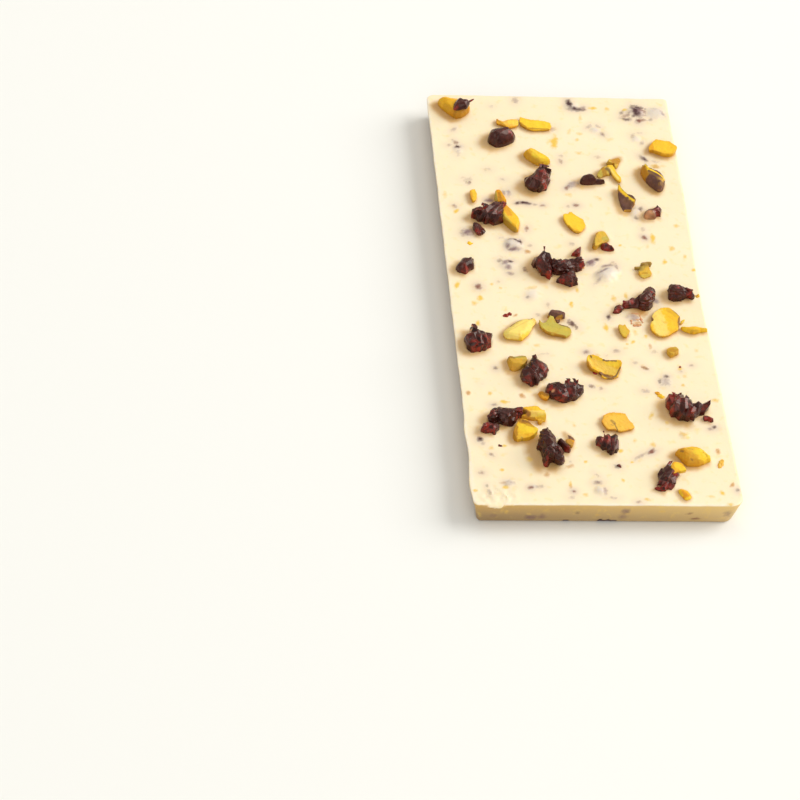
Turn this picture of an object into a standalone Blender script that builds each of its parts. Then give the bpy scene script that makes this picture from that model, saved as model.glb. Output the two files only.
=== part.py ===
"""A white chocolate bar strewn with dried cranberries and pistachio kernels.

The bar was cast in an open tray mould, so its foot and walls are smooth and lean in, and the face
on top is the poured one. Fruit and nuts were strewn on that face while it was soft. Every large
piece is a solid of its own, sitting in a hollow of its own outline, and crumbs are one with the
chocolate. The length runs along Y with the near end at -Y, and the foot lies on z = 0.
Sizes in the tables are millimetres.
"""

from math import atan2, cos, exp, hypot, pi, radians, sin
from random import Random

import bmesh
import bpy

MM = 0.001

# The cast slab
LENGTH = 165.0
WIDTH = 71.6
THICKNESS = 7.2
WALL_LEAN = 1.3
FOOT_RADIUS = 1.1
RIM_RADIUS = 0.35
NEAR_LEFT_RADIUS = 1.2
NEAR_RIGHT_RADIUS = 3.0
FAR_RIGHT_RADIUS = 1.0
FAR_LEFT_RADIUS = 2.2
CORNER_STEPS = 4
LONG_SIDE_STEPS = 34
SHORT_SIDE_STEPS = 24

# The rim is uneven where it was scraped level: a thin flash on the left side, a lip that hangs
# over the near end, and a right side that is drawn in at its middle and stands out near the end
FLASH_DEPTH = 1.0
FLASHES = ((-56.0, 4.0, 0.6), (-75.0, 6.0, 0.9))
LIP_PLACE = -30.0
LIP_HALF_WIDTH = 3.2
LIP_REACH = 0.9
LIP_DROOP = 0.5
DRAWN_IN = (-2.0, 24.0, 0.8)
STANDS_OUT = (-72.0, 16.0, 0.5)
RIM_WAVER = 0.12

# Air bubbles left half-round bites in the near foot edge: (x, radius)
BUBBLES = ((-10.8, 0.5), (-1.2, 0.9), (1.9, 0.8))

# How the strewn pieces sit in the poured face
SINK = 0.9
SEAT_GAP = 0.3
SIDE_GAP = 0.35
NEIGHBOUR_GAP = 0.4
RAY_STEP = 0.1
FARTHEST = 12.0
WATERLINE_SHARE = 0.95
UNDERSIDE_SHARE = 0.72
WAIST = 0.25
SEED = 7

# Forms of the pieces: squareness of the outline, fullness of the crown, depth of the folds that
# run from the edge to the crown, roughness of a broken or torn surface, and sides.
# An outline of 2 is an ellipse and a crown of 2 is a dome; more is boxier and flatter.
CROWN_SHARE = 0.8
SUMMIT_SHARE = 0.42
SUMMIT_SIDES = 12
FOLD_REACH = 0.6
FORMS = {
    "smooth": (2.0, 2.1, 0.04, 0.04, 16),
    "berry": (2.1, 2.0, 0.22, 0.16, 16),
    "shred": (2.0, 1.8, 0.18, 0.12, 12),
    "half": (2.0, 2.2, 0.00, 0.07, 12),
    "slice": (2.4, 5.0, 0.00, 0.08, 12),
    "block": (2.8, 4.5, 0.00, 0.12, 10),
    "chip": (2.2, 3.2, 0.05, 0.12, 9),
}

# Every large piece: name, form, finish, the height it lies at and the height of its crown, both
# above the poured face, and its lobes as (x, y, length, width, turn in degrees). Rays from the
# middle of the first lobe find the outline. A piece gives way to those before it in the table.
PIECES = (
    ("pistachio_01", "half", "kernel", 0.0, 2.6,
     ((-29.2, 74.8, 7.0, 6.6, 130), (-31.0, 77.0, 5.0, 5.0, 0), (-27.0, 73.2, 6.6, 4.0, 10))),
    ("cranberry_01", "berry", "cranberry", 2.9, 5.0,
     ((-26.6, 73.6, 6.4, 5.2, 20), (-23.6, 75.2, 3.6, 1.6, 35))),
    ("pistachio_02", "slice", "kernel", 0.0, 1.3,
     ((-13.1, 70.2, 6.4, 3.2, -15), (-15.2, 71.2, 2.2, 2.2, 0))),
    ("pistachio_03", "slice", "kernel", 0.0, 1.4,
     ((-5.2, 69.7, 9.0, 4.4, -18), (-8.2, 71.2, 3.2, 3.0, 60), (-1.8, 68.9, 3.4, 2.6, 20))),
    ("cranberry_02", "smooth", "cranberry", 0.0, 4.0, ((-15.8, 62.9, 9.6, 6.6, 30),)),
    ("pistachio_04", "half", "kernel", 0.0, 2.8, ((-6.0, 54.6, 9.6, 5.2, -42),)),
    ("pistachio_05", "block", "kernel", 0.0, 1.9,
     ((31.6, 59.8, 7.8, 6.6, 10), (34.6, 58.6, 4.2, 3.4, -20), (30.8, 61.8, 3.6, 3.0, 60))),
    ("pistachio_06", "chip", "kernel", 0.0, 2.0,
     ((16.4, 52.6, 4.6, 4.0, 50), (18.0, 54.8, 5.6, 2.4, 52))),
    ("pistachio_07", "chip", "kernel", 0.0, 1.5, ((16.6, 48.2, 7.0, 2.2, -72),)),
    ("pistachio_08", "chip", "kernel", 0.0, 1.8, ((12.8, 48.7, 4.8, 4.0, 40),)),
    ("pistachio_09", "half", "skin", 0.0, 3.5,
     ((27.4, 46.8, 12.8, 5.8, -72), (26.0, 51.2, 4.2, 3.4, -60))),
    ("cranberry_03", "berry", "cranberry", 0.0, 5.0,
     ((-7.2, 43.8, 7.6, 6.4, 20), (-5.0, 46.2, 7.0, 5.0, 60), (-8.6, 42.2, 4.0, 4.0, 0))),
    ("cranberry_04", "smooth", "cranberry", 0.0, 3.0,
     ((8.5, 45.4, 6.2, 4.0, 8), (11.9, 45.3, 3.8, 1.6, -5))),
    ("pistachio_10", "half", "skin", 0.0, 2.6,
     ((18.2, 37.8, 10.4, 4.6, -75), (17.5, 40.6, 5.0, 2.4, -80))),
    ("pistachio_11", "chip", "kernel", 0.0, 2.0, ((-25.8, 38.0, 5.3, 2.3, 85),)),
    ("cranberry_05", "berry", "cranberry", 0.0, 3.8,
     ((-22.6, 29.8, 8.4, 6.0, 40), (-19.9, 31.6, 6.6, 5.6, 70), (-25.0, 28.6, 4.4, 3.6, 30))),
    ("pistachio_12", "chip", "kernel", 0.0, 2.6, ((-18.3, 36.9, 5.2, 2.6, -82),)),
    ("pistachio_13", "half", "kernel", 0.0, 2.6,
     ((-15.6, 27.4, 9.8, 4.2, -80), (-16.2, 31.4, 5.4, 2.6, -75))),
    ("cranberry_06", "shred", "cranberry", 0.0, 1.8, ((-25.7, 23.7, 5.4, 2.8, -70),)),
    ("cranberry_07", "berry", "cranberry", 0.0, 2.8,
     ((-30.8, 8.3, 6.6, 5.4, 35), (-29.6, 9.8, 3.6, 3.0, 0))),
    ("cranberry_08", "berry", "cranberry", 0.0, 4.2,
     ((-8.5, 8.8, 9.4, 5.8, 78), (-7.4, 6.0, 5.2, 4.4, 0), (-9.6, 10.6, 4.0, 3.6, 60))),
    ("cranberry_09", "berry", "cranberry", 0.0, 3.7,
     ((-1.8, 8.2, 7.0, 4.8, 8), (1.8, 8.8, 4.8, 2.4, 12), (-4.0, 7.4, 3.4, 3.0, 0))),
    ("cranberry_10", "berry", "cranberry", 0.0, 3.8, ((-2.2, 3.1, 6.0, 4.6, -25),)),
    ("cranberry_11", "shred", "cranberry", 0.0, 1.4, ((1.5, 15.1, 5.4, 2.4, 52),)),
    ("pistachio_14", "slice", "kernel", 0.0, 1.6, ((2.3, 26.4, 8.4, 6.4, 100), (0.6, 28.6, 3.6, 3.4, 0))),
    ("pistachio_15", "half", "kernel", 0.0, 2.0, ((8.8, 20.8, 9.6, 4.2, 58), (10.6, 21.6, 4.0, 2.6, 80))),
    ("cranberry_12", "shred", "cranberry", 0.0, 1.8, ((10.4, 16.5, 4.5, 3.0, -12),)),
    ("cranberry_13", "berry", "cranberry", 0.0, 2.4,
     ((24.9, 31.4, 5.6, 3.6, 8), (26.9, 32.6, 3.4, 2.0, 65))),
    ("pistachio_16", "chip", "green", 0.0, 1.8,
     ((19.8, 7.4, 5.0, 4.4, 40), (21.0, 9.4, 3.0, 2.2, 20), (18.2, 8.4, 2.4, 2.2, 0))),
    ("cranberry_14", "berry", "cranberry", 0.0, 4.6,
     ((19.0, -4.8, 7.8, 4.4, 62), (15.2, -6.4, 6.8, 3.2, 12), (20.8, -2.4, 3.4, 3.0, 60))),
    ("cranberry_15", "berry", "cranberry", 0.0, 3.6,
     ((28.4, -2.0, 6.6, 5.6, 0), (31.3, -1.8, 3.4, 3.2, 0))),
    ("pistachio_17", "chip", "kernel", 0.0, 1.6, ((11.7, -16.5, 5.2, 3.2, 100),)),
    ("pistachio_18", "slice", "kernel", 0.0, 1.7,
     ((23.8, -13.5, 10.6, 8.8, 60), (21.8, -16.2, 5.0, 4.6, 30))),
    ("pistachio_19", "chip", "kernel", 0.0, 1.7, ((31.3, -16.5, 7.6, 2.3, 0),)),
    ("pistachio_20", "chip", "kernel", 0.0, 1.6, ((24.0, -24.8, 5.0, 3.3, 50),)),
    ("pistachio_21", "half", "kernel", 0.0, 2.6,
     ((-18.0, -16.8, 11.4, 5.4, 45), (-13.9, -13.0, 2.6, 2.2, 45))),
    ("pistachio_22", "slice", "green", 0.0, 1.8,
     ((-7.4, -16.4, 9.0, 4.8, -12), (-10.2, -14.2, 3.6, 3.0, 60), (-4.8, -16.2, 3.6, 4.0, 0))),
    ("pistachio_23", "chip", "skin", 0.0, 2.4, ((-6.8, -11.4, 5.2, 3.6, -5),)),
    ("cranberry_16", "berry", "cranberry", 0.0, 4.0,
     ((-29.4, -22.0, 8.0, 6.6, 10), (-31.4, -19.4, 3.6, 1.8, 105), (-27.2, -20.6, 3.6, 3.4, 40))),
    ("cranberry_17", "berry", "cranberry", 0.0, 3.6,
     ((-14.8, -32.4, 7.8, 5.0, -68), (-16.5, -34.9, 6.2, 4.6, -55), (-13.6, -30.0, 4.6, 3.8, -60))),
    ("pistachio_24", "block", "kernel", 0.0, 2.5, ((-19.8, -30.6, 5.6, 5.0, 10),)),
    ("pistachio_25", "half", "kernel", 0.0, 3.0,
     ((4.6, -31.8, 10.4, 6.4, -22), (1.8, -29.6, 4.2, 3.8, 0))),
    ("cranberry_18", "berry", "cranberry", 0.0, 3.5,
     ((-8.8, -41.2, 7.6, 6.0, 0), (-5.2, -40.8, 5.8, 6.0, 60), (-11.2, -40.8, 4.2, 5.0, 0))),
    ("pistachio_26", "chip", "kernel", 0.0, 1.6, ((-14.2, -42.6, 3.6, 3.2, -30),)),
    ("pistachio_27", "block", "kernel", 0.0, 2.2,
     ((-17.0, -49.8, 7.0, 4.2, -15), (-14.8, -50.6, 2.8, 3.0, 0))),
    ("pistachio_28", "block", "kernel", 0.0, 2.2,
     ((-20.1, -55.8, 7.8, 5.8, 50), (-21.4, -57.8, 4.0, 3.6, 0))),
    ("cranberry_19", "berry", "cranberry", 0.0, 4.0,
     ((-25.7, -51.0, 7.8, 5.8, 10), (-22.2, -50.2, 4.4, 1.8, 5), (-27.4, -50.4, 4.0, 4.0, 0))),
    ("cranberry_20", "shred", "cranberry", 0.0, 2.0, ((-29.6, -54.5, 5.6, 4.2, 20),)),
    ("cranberry_21", "berry", "cranberry", 0.0, 5.8,
     ((-13.9, -62.6, 9.8, 4.6, 82), (-12.8, -65.2, 6.2, 4.6, -55), (-14.9, -65.2, 5.0, 3.0, 70))),
    ("cranberry_22", "shred", "cranberry", 0.0, 2.0, ((-9.9, -61.2, 5.8, 3.0, -62),)),
    ("pistachio_29", "chip", "skin", 0.0, 1.4, ((-7.7, -58.7, 5.8, 2.2, 75),)),
    ("pistachio_30", "slice", "kernel", 0.0, 1.5,
     ((5.7, -52.2, 8.8, 6.0, -5), (3.2, -50.9, 3.4, 3.2, 0))),
    ("cranberry_23", "berry", "cranberry", 0.0, 3.0,
     ((1.8, -60.5, 6.0, 4.8, 72), (3.3, -61.1, 6.2, 3.6, 72), (0.4, -59.8, 5.0, 2.8, 80))),
    ("cranberry_24", "berry", "cranberry", 0.0, 5.0,
     ((24.0, -47.4, 7.8, 7.0, 80), (27.4, -48.2, 5.8, 4.6, 45), (30.0, -46.9, 4.2, 2.2, 20),
      (21.8, -45.6, 4.0, 3.0, 100))),
    ("pistachio_31", "half", "kernel", 0.0, 3.0,
     ((24.7, -64.9, 9.8, 5.8, -8), (22.4, -64.8, 4.6, 5.0, 0))),
    ("pistachio_32", "chip", "kernel", 0.0, 2.8, ((19.9, -69.8, 5.2, 2.9, -20),)),
    ("cranberry_25", "berry", "cranberry", 0.0, 2.8,
     ((16.6, -72.3, 9.4, 4.2, 64), (15.0, -76.2, 4.4, 2.8, 15), (17.6, -70.4, 4.4, 2.8, 50))),
    ("pistachio_33", "chip", "kernel", 0.0, 1.0, ((20.6, -78.8, 5.0, 3.2, -55),)),
)

# Crumbs and torn bits that stand a little out of the poured face: (x, y, length, width, turn)
CRUMB_HEIGHT = 0.35
CRUMB_DEPTH = 0.5
CRUMB_SIDES = 7
CRUMBS = (
    (0.2, 62.0, 6.4, 2.2, 78),
    (22.8, 77.0, 2.2, 1.2, 0),
    (13.4, 77.4, 2.0, 1.3, 0),
    (28.8, 52.0, 3.0, 2.0, 0),
    (24.3, 21.0, 4.0, 1.2, -85),
    (29.2, 17.0, 1.9, 1.5, 60),
    (26.6, 11.8, 2.0, 1.2, 70),
    (-31.0, 31.5, 2.4, 1.0, 50),
    (-28.3, 18.0, 1.7, 1.3, 60),
    (-12.2, 15.0, 1.7, 1.4, 0),
    (5.6, 10.6, 4.0, 1.8, 40),
    (-33.8, 0.9, 3.0, 1.3, 70),
    (-27.3, 0.2, 2.2, 1.7, 40),
    (-27.3, -4.0, 2.2, 1.5, 80),
    (-29.2, -14.3, 2.4, 1.3, -60),
    (-20.3, -11.3, 3.3, 1.4, 38),
    (-2.0, -6.5, 2.2, 1.0, 85),
    (7.9, -11.4, 2.3, 1.2, -75),
    (10.7, -8.3, 3.2, 2.0, 45),
    (13.7, -1.6, 3.0, 1.0, 82),
    (15.3, -12.6, 3.4, 2.2, 80),
    (6.7, -15.5, 3.4, 1.1, 80),
    (18.3, -22.4, 2.4, 0.9, 75),
    (25.4, -31.0, 1.9, 1.0, 75),
    (15.9, -31.0, 3.4, 1.4, -40),
    (-19.3, -42.4, 2.0, 1.4, -50),
    (-24.5, -44.8, 3.2, 0.9, -8),
    (18.6, -41.8, 3.0, 1.8, -40),
    (15.3, -49.6, 3.0, 1.1, 60),
    (30.8, -50.6, 3.0, 2.4, -40),
    (23.3, -57.0, 2.2, 2.0, 0),
    (31.9, -67.2, 3.7, 2.1, 70),
    (33.4, -43.6, 1.8, 1.4, 20),
    (-26.8, -61.2, 2.1, 1.2, 0),
    (-15.6, -71.6, 2.1, 1.2, 80),
    (-9.0, -68.5, 2.6, 1.3, 20),
    (-27.3, -76.5, 1.9, 1.1, 60),
    (13.6, -62.8, 3.0, 1.1, 40),
)

FINISHES = {
    "white_chocolate": ((0.955, 0.860, 0.620), 0.45),
    "cranberry": ((0.120, 0.016, 0.018), 0.30),
    "kernel": ((0.790, 0.540, 0.070), 0.55),
    "green": ((0.520, 0.500, 0.100), 0.55),
    "skin": ((0.230, 0.120, 0.075), 0.60),
}


def clear_scene():
    """Start from nothing, so that only the bar is in the file."""
    for thing in list(bpy.data.objects):
        bpy.data.objects.remove(thing, do_unlink=True)


def finish(name):
    """A food surface: its colour and how much it scatters light."""
    if name in bpy.data.materials:
        return bpy.data.materials[name]
    colour, roughness = FINISHES[name]
    material = bpy.data.materials.new(name)
    material.use_nodes = True
    shader = material.node_tree.nodes["Principled BSDF"]
    shader.inputs["Base Color"].default_value = (*colour, 1.0)
    shader.inputs["Roughness"].default_value = roughness
    shader.inputs["Metallic"].default_value = 0.0
    return material


def make_object(name, bm, finish_name):
    """Turn a closed mesh in millimetres into an object in metres with its faces pointing out."""
    bmesh.ops.scale(bm, vec=(MM, MM, MM), verts=bm.verts)
    bmesh.ops.recalc_face_normals(bm, faces=bm.faces)
    mesh = bpy.data.meshes.new(name)
    bm.to_mesh(mesh)
    bm.free()
    mesh.materials.append(finish(finish_name))
    thing = bpy.data.objects.new(name, mesh)
    bpy.context.scene.collection.objects.link(thing)
    return thing


def skin_rings(bm, rings, peak=None):
    """Close a stack of rings, lowest first, with a flat underside and a flat or peaked top."""
    loops = [[bm.verts.new(point) for point in ring] for ring in rings]
    count = len(loops[0])
    bm.faces.new(reversed(loops[0]))
    for low, high in zip(loops, loops[1:]):
        for i in range(count):
            j = (i + 1) % count
            bm.faces.new((low[i], low[j], high[j], high[i]))
    if peak is None:
        bm.faces.new(loops[-1])
        return
    tip = bm.verts.new(peak)
    for i in range(count):
        bm.faces.new((loops[-1][i], loops[-1][(i + 1) % count], tip))


def swell(place, centre, half_width, height):
    """A smooth swelling along an edge: full height at its centre, none well away from it."""
    return height * exp(-(((place - centre) / half_width) ** 2))


def waver(place, side):
    """The slight unevenness of a rim that was scraped level by hand."""
    return RIM_WAVER * (sin(0.31 * place + side) + 0.6 * sin(0.83 * place + 2.0 * side)) / 1.6


def lip(x):
    return swell(x, LIP_PLACE, LIP_HALF_WIDTH, 1.0) * (0.8 + 0.2 * sin(1.9 * x))


def slab_ring(z, inset, rim_share):
    """One level of the slab's wall, counterclockwise from the near left corner.

    The inset moves every side inwards, and rim_share says how much of the rim's flash, lip and
    waver the level has.
    """
    half_x = WIDTH / 2 - inset
    half_y = LENGTH / 2 - inset
    ring = []

    def corner(x, y, radius, start):
        for step in range(CORNER_STEPS + 1):
            angle = start + 0.5 * pi * step / CORNER_STEPS
            ring.append((x + radius * cos(angle), y + radius * sin(angle), z))

    def side(first, last, steps, place_on):
        for step in range(1, steps):
            place = first + (last - first) * step / steps
            ring.append(place_on(place))

    def near_end(x):
        out = rim_share * (LIP_REACH * lip(x) + waver(x, 1.0))
        return (x, -half_y - out, z - rim_share * LIP_DROOP * lip(x))

    def right_side(y):
        out = swell(y, *STANDS_OUT) - swell(y, *DRAWN_IN) + rim_share * waver(y, 2.0)
        return (half_x + out, y, z)

    def far_end(x):
        return (x, half_y + rim_share * waver(x, 3.0), z)

    def left_side(y):
        flash = sum(swell(y, *flash) for flash in FLASHES)
        return (-half_x - rim_share * (FLASH_DEPTH * flash + waver(y, 4.0)), y, z)

    near, right = NEAR_LEFT_RADIUS, NEAR_RIGHT_RADIUS
    far, left = FAR_RIGHT_RADIUS, FAR_LEFT_RADIUS
    corner(-half_x + near, -half_y + near, near, pi)
    side(-half_x + near, half_x - right, SHORT_SIDE_STEPS, near_end)
    corner(half_x - right, -half_y + right, right, 1.5 * pi)
    side(-half_y + right, half_y - far, LONG_SIDE_STEPS, right_side)
    corner(half_x - far, half_y - far, far, 0.0)
    side(half_x - far, -half_x + left, SHORT_SIDE_STEPS // 2, far_end)
    corner(-half_x + left, half_y - left, left, 0.5 * pi)
    side(half_y - left, -half_y + near, LONG_SIDE_STEPS, left_side)
    return ring


def slab_mesh():
    """The cast slab: a rounded foot, leaning walls and a rim with its flash."""
    rings = []
    for angle in (0.0, pi / 6, pi / 3, pi / 2):
        lean = WALL_LEAN * (1 - FOOT_RADIUS / THICKNESS)
        rings.append(slab_ring(FOOT_RADIUS * (1 - cos(angle)), lean + FOOT_RADIUS * (1 - sin(angle)), 0.0))
    below_rim = THICKNESS - 3.5 * RIM_RADIUS
    rings.append(slab_ring(below_rim, WALL_LEAN * (1 - below_rim / THICKNESS), 0.0))
    rings.append(slab_ring(THICKNESS - RIM_RADIUS, 0.0, 1.0))
    rings.append(slab_ring(THICKNESS - 0.3 * RIM_RADIUS, 0.3 * RIM_RADIUS, 1.0))
    rings.append(slab_ring(THICKNESS, RIM_RADIUS + LIP_REACH, 0.0))
    bm = bmesh.new()
    skin_rings(bm, rings)
    return bm


def reach(lobe, squareness, x, y):
    """0 at the middle of a lobe, 1 on its edge, more outside it."""
    middle_x, middle_y, length, width, turn = lobe
    c = cos(radians(turn))
    s = sin(radians(turn))
    along = abs((x - middle_x) * c + (y - middle_y) * s) / (length / 2)
    across = abs((y - middle_y) * c - (x - middle_x) * s) / (width / 2)
    return (along ** squareness + across ** squareness) ** (1 / squareness)


def distance_to_edge(x, y, start, end):
    """Distance from a point to one straight edge of an outline."""
    run_x = end[0] - start[0]
    run_y = end[1] - start[1]
    share = ((x - start[0]) * run_x + (y - start[1]) * run_y) / (run_x ** 2 + run_y ** 2)
    share = min(1.0, max(0.0, share))
    return hypot(x - start[0] - share * run_x, y - start[1] - share * run_y)


def too_close(x, y, outline, gap):
    """True inside an outline, and outside it within the gap."""
    inside = False
    for start, end in zip(outline, outline[1:] + outline[:1]):
        if distance_to_edge(x, y, start, end) < gap:
            return True
        if (start[1] > y) != (end[1] > y):
            if x < start[0] + (y - start[1]) * (end[0] - start[0]) / (end[1] - start[1]):
                inside = not inside
    return inside


def near_outlines(lobes, laid):
    """Outlines of the laid pieces that could be in the way of a piece with these lobes."""
    x, y = lobes[0][0], lobes[0][1]
    return [outline for outline in laid
            if any(hypot(x - px, y - py) < FARTHEST for px, py in outline)]


def ray_angles(lobes, sides):
    """Directions of the rays, closer together towards the two ends of a long piece."""
    turn = radians(lobes[0][4])
    length = lobes[0][2]
    width = lobes[0][3]
    angles = []
    for side in range(sides):
        angle = 2 * pi * (side + 0.5) / sides
        angles.append(turn + atan2(width * sin(angle), length * cos(angle)))
    return angles


def own_reach(lobes, squareness, angle):
    """How far the lobes stretch along a ray."""
    edge = RAY_STEP
    for step in range(1, int(FARTHEST / RAY_STEP)):
        away = step * RAY_STEP
        x = lobes[0][0] + away * cos(angle)
        y = lobes[0][1] + away * sin(angle)
        if min(reach(lobe, squareness, x, y) for lobe in lobes) <= 1.0:
            edge = away
    return edge


def free_reach(lobes, neighbours, angle, wanted):
    """How far along a ray the piece stays clear of its neighbours, up to the wanted reach."""
    away = RAY_STEP
    while away < wanted:
        x = lobes[0][0] + away * cos(angle)
        y = lobes[0][1] + away * sin(angle)
        if any(too_close(x, y, outline, NEIGHBOUR_GAP) for outline in neighbours):
            return away - RAY_STEP
        away += RAY_STEP
    return wanted


def piece_radii(lobes, form, laid):
    """Each ray's angle and the piece's radius along it."""
    squareness, _, _, _, sides = FORMS[form]
    neighbours = near_outlines(lobes, laid)
    angles = ray_angles(lobes, sides)
    radii = []
    for i, angle in enumerate(angles):
        radius = own_reach(lobes, squareness, angle)
        if neighbours:
            before = (angle - angles[i - 1]) % (2 * pi)
            after = (angles[(i + 1) % sides] - angle) % (2 * pi)
            for share in (-0.9, -0.6, -0.3, 0.0, 0.3, 0.6, 0.9):
                turned = angle + share * (after if share > 0 else before)
                radius = min(radius, free_reach(lobes, neighbours, turned, radius))
        radii.append((angle, radius))
    return radii


def crown_height(lobes, form, base, top, x, y):
    """Height of a piece's upper surface over a point of its plan."""
    squareness, fullness, _, _, _ = FORMS[form]
    share = min(1.0, min(reach(lobe, squareness, x, y) for lobe in lobes))
    return base + (top - base) * max(WAIST + 0.08, (1 - share ** fullness) ** (1 / fullness))


def piece_mesh(radii, lobes, form, base, top, rng):
    """A strewn piece: a sunk underside, a waist just above the chocolate and a folded crown."""
    _, _, fold, rough, sides = FORMS[form]
    middle = (lobes[0][0], lobes[0][1])
    drops = [fold * (i % 2) + rough * rng.random() for i in range(sides)]

    def ring(share, rise):
        points = []
        for drop, (angle, radius) in zip(drops, radii):
            away = radius * share * (1 - FOLD_REACH * drop)
            x = middle[0] + away * cos(angle)
            y = middle[1] + away * sin(angle)
            points.append((x, y, THICKNESS + rise(x, y, drop)))
        return points

    def crown(x, y, drop):
        height = crown_height(lobes, form, base, top, x, y)
        return height - (height - base) * (drop + rough * rng.random())

    under = base if base > 0 else -SINK
    waist = base + WAIST * (top - base)
    rings = [
        ring(UNDERSIDE_SHARE, lambda x, y, drop: under),
        ring(WATERLINE_SHARE, lambda x, y, drop: 0.0),
        ring(1.0, lambda x, y, drop: waist),
        ring(CROWN_SHARE, crown),
    ]
    if base > 0:
        rings.pop(1)  # a piece that lies on another has no waterline
    if sides >= SUMMIT_SIDES:
        rings.append(ring(SUMMIT_SHARE, crown))
    bm = bmesh.new()
    peak = (*middle, THICKNESS + crown_height(lobes, form, base, top, *middle))
    skin_rings(bm, rings, peak)
    return bm


def seat_mesh(radii, lobes):
    """The cutter for the hollow a piece sits in: its waterline outline, a little larger."""
    def ring(z):
        points = []
        for angle, radius in radii:
            away = radius * WATERLINE_SHARE + SIDE_GAP
            points.append((lobes[0][0] + away * cos(angle), lobes[0][1] + away * sin(angle), z))
        return points

    bm = bmesh.new()
    skin_rings(bm, [ring(THICKNESS - SINK - SEAT_GAP), ring(THICKNESS + 1.0)])
    return bm


def crumb_mesh(x, y, length, width, turn):
    """A low crumb, more than half of it under the poured face."""
    c = cos(radians(turn))
    s = sin(radians(turn))

    def ring(share, z):
        points = []
        for side in range(CRUMB_SIDES):
            angle = 2 * pi * side / CRUMB_SIDES
            along = share * length / 2 * cos(angle)
            across = share * width / 2 * sin(angle)
            points.append((x + along * c - across * s, y + along * s + across * c, z))
        return points

    bm = bmesh.new()
    rings = [ring(0.9, THICKNESS - CRUMB_DEPTH), ring(0.65, THICKNESS + 0.8 * CRUMB_HEIGHT)]
    skin_rings(bm, rings, (x, y, THICKNESS + CRUMB_HEIGHT))
    return bm


def bubble_mesh(x, radius):
    """The round bite that an air bubble left in the near foot edge."""
    bm = bmesh.new()
    bmesh.ops.create_icosphere(bm, subdivisions=2, radius=radius)
    place = -LENGTH / 2 + WALL_LEAN + 0.5 * FOOT_RADIUS
    bmesh.ops.translate(bm, vec=(x, place, 0.0), verts=bm.verts)
    return bm


def combine(slab, tools, operation):
    """Cut or join the slab with a whole collection of closed tools, and remove the tools."""
    group = bpy.data.collections.new(operation.lower())
    for tool in tools:
        group.objects.link(tool)
        bpy.context.scene.collection.objects.unlink(tool)
    bpy.context.scene.collection.children.link(group)
    boolean = slab.modifiers.new("combine", "BOOLEAN")
    boolean.operation = operation
    boolean.operand_type = "COLLECTION"
    boolean.collection = group
    boolean.solver = "EXACT"
    graph = bpy.context.evaluated_depsgraph_get()
    graph.update()
    result = bpy.data.meshes.new_from_object(slab.evaluated_get(graph), depsgraph=graph)
    slab.modifiers.clear()
    slab.data = result
    for tool in tools:
        bpy.data.objects.remove(tool, do_unlink=True)
    bpy.data.collections.remove(group)


def clear_of_pieces(crumb, laid):
    """True if a crumb stays clear of every large piece and its hollow."""
    x, y, length, width, turn = crumb
    for share in (-0.5, 0.0, 0.5):
        px = x + share * length * cos(radians(turn))
        py = y + share * length * sin(radians(turn))
        for outline in laid:
            if too_close(px, py, outline, 0.5 * width + SIDE_GAP + 0.2):
                return False
    return True


def strew_pieces():
    """Lay every large piece, and return the seats they need and their outlines."""
    rng = Random(SEED)
    laid = []
    seats = []
    for name, form, finish_name, base, top, lobes in PIECES:
        radii = piece_radii(lobes, form, [] if base > 0 else laid)
        piece = make_object(name, piece_mesh(radii, lobes, form, base, top, rng), finish_name)
        piece.data.shade_smooth()
        piece.data.set_sharp_from_angle(angle=radians(50))
        if base == 0:
            laid.append([(lobes[0][0] + r * cos(a), lobes[0][1] + r * sin(a)) for a, r in radii])
            seats.append(make_object("seat_of_" + name, seat_mesh(radii, lobes), "white_chocolate"))
    return seats, laid


def main():
    clear_scene()
    slab = make_object("slab", slab_mesh(), "white_chocolate")
    seats, laid = strew_pieces()
    bubbles = [make_object("bubble", bubble_mesh(*bubble), "white_chocolate") for bubble in BUBBLES]
    combine(slab, seats + bubbles, "DIFFERENCE")
    crumbs = [make_object("crumb", crumb_mesh(*crumb), "white_chocolate")
              for crumb in CRUMBS if clear_of_pieces(crumb, laid)]
    combine(slab, crumbs, "UNION")


main()
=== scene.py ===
from math import cos, pi, radians, sin, sqrt

import bpy
import numpy as np
from mathutils import Matrix, Vector, noise


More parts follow.
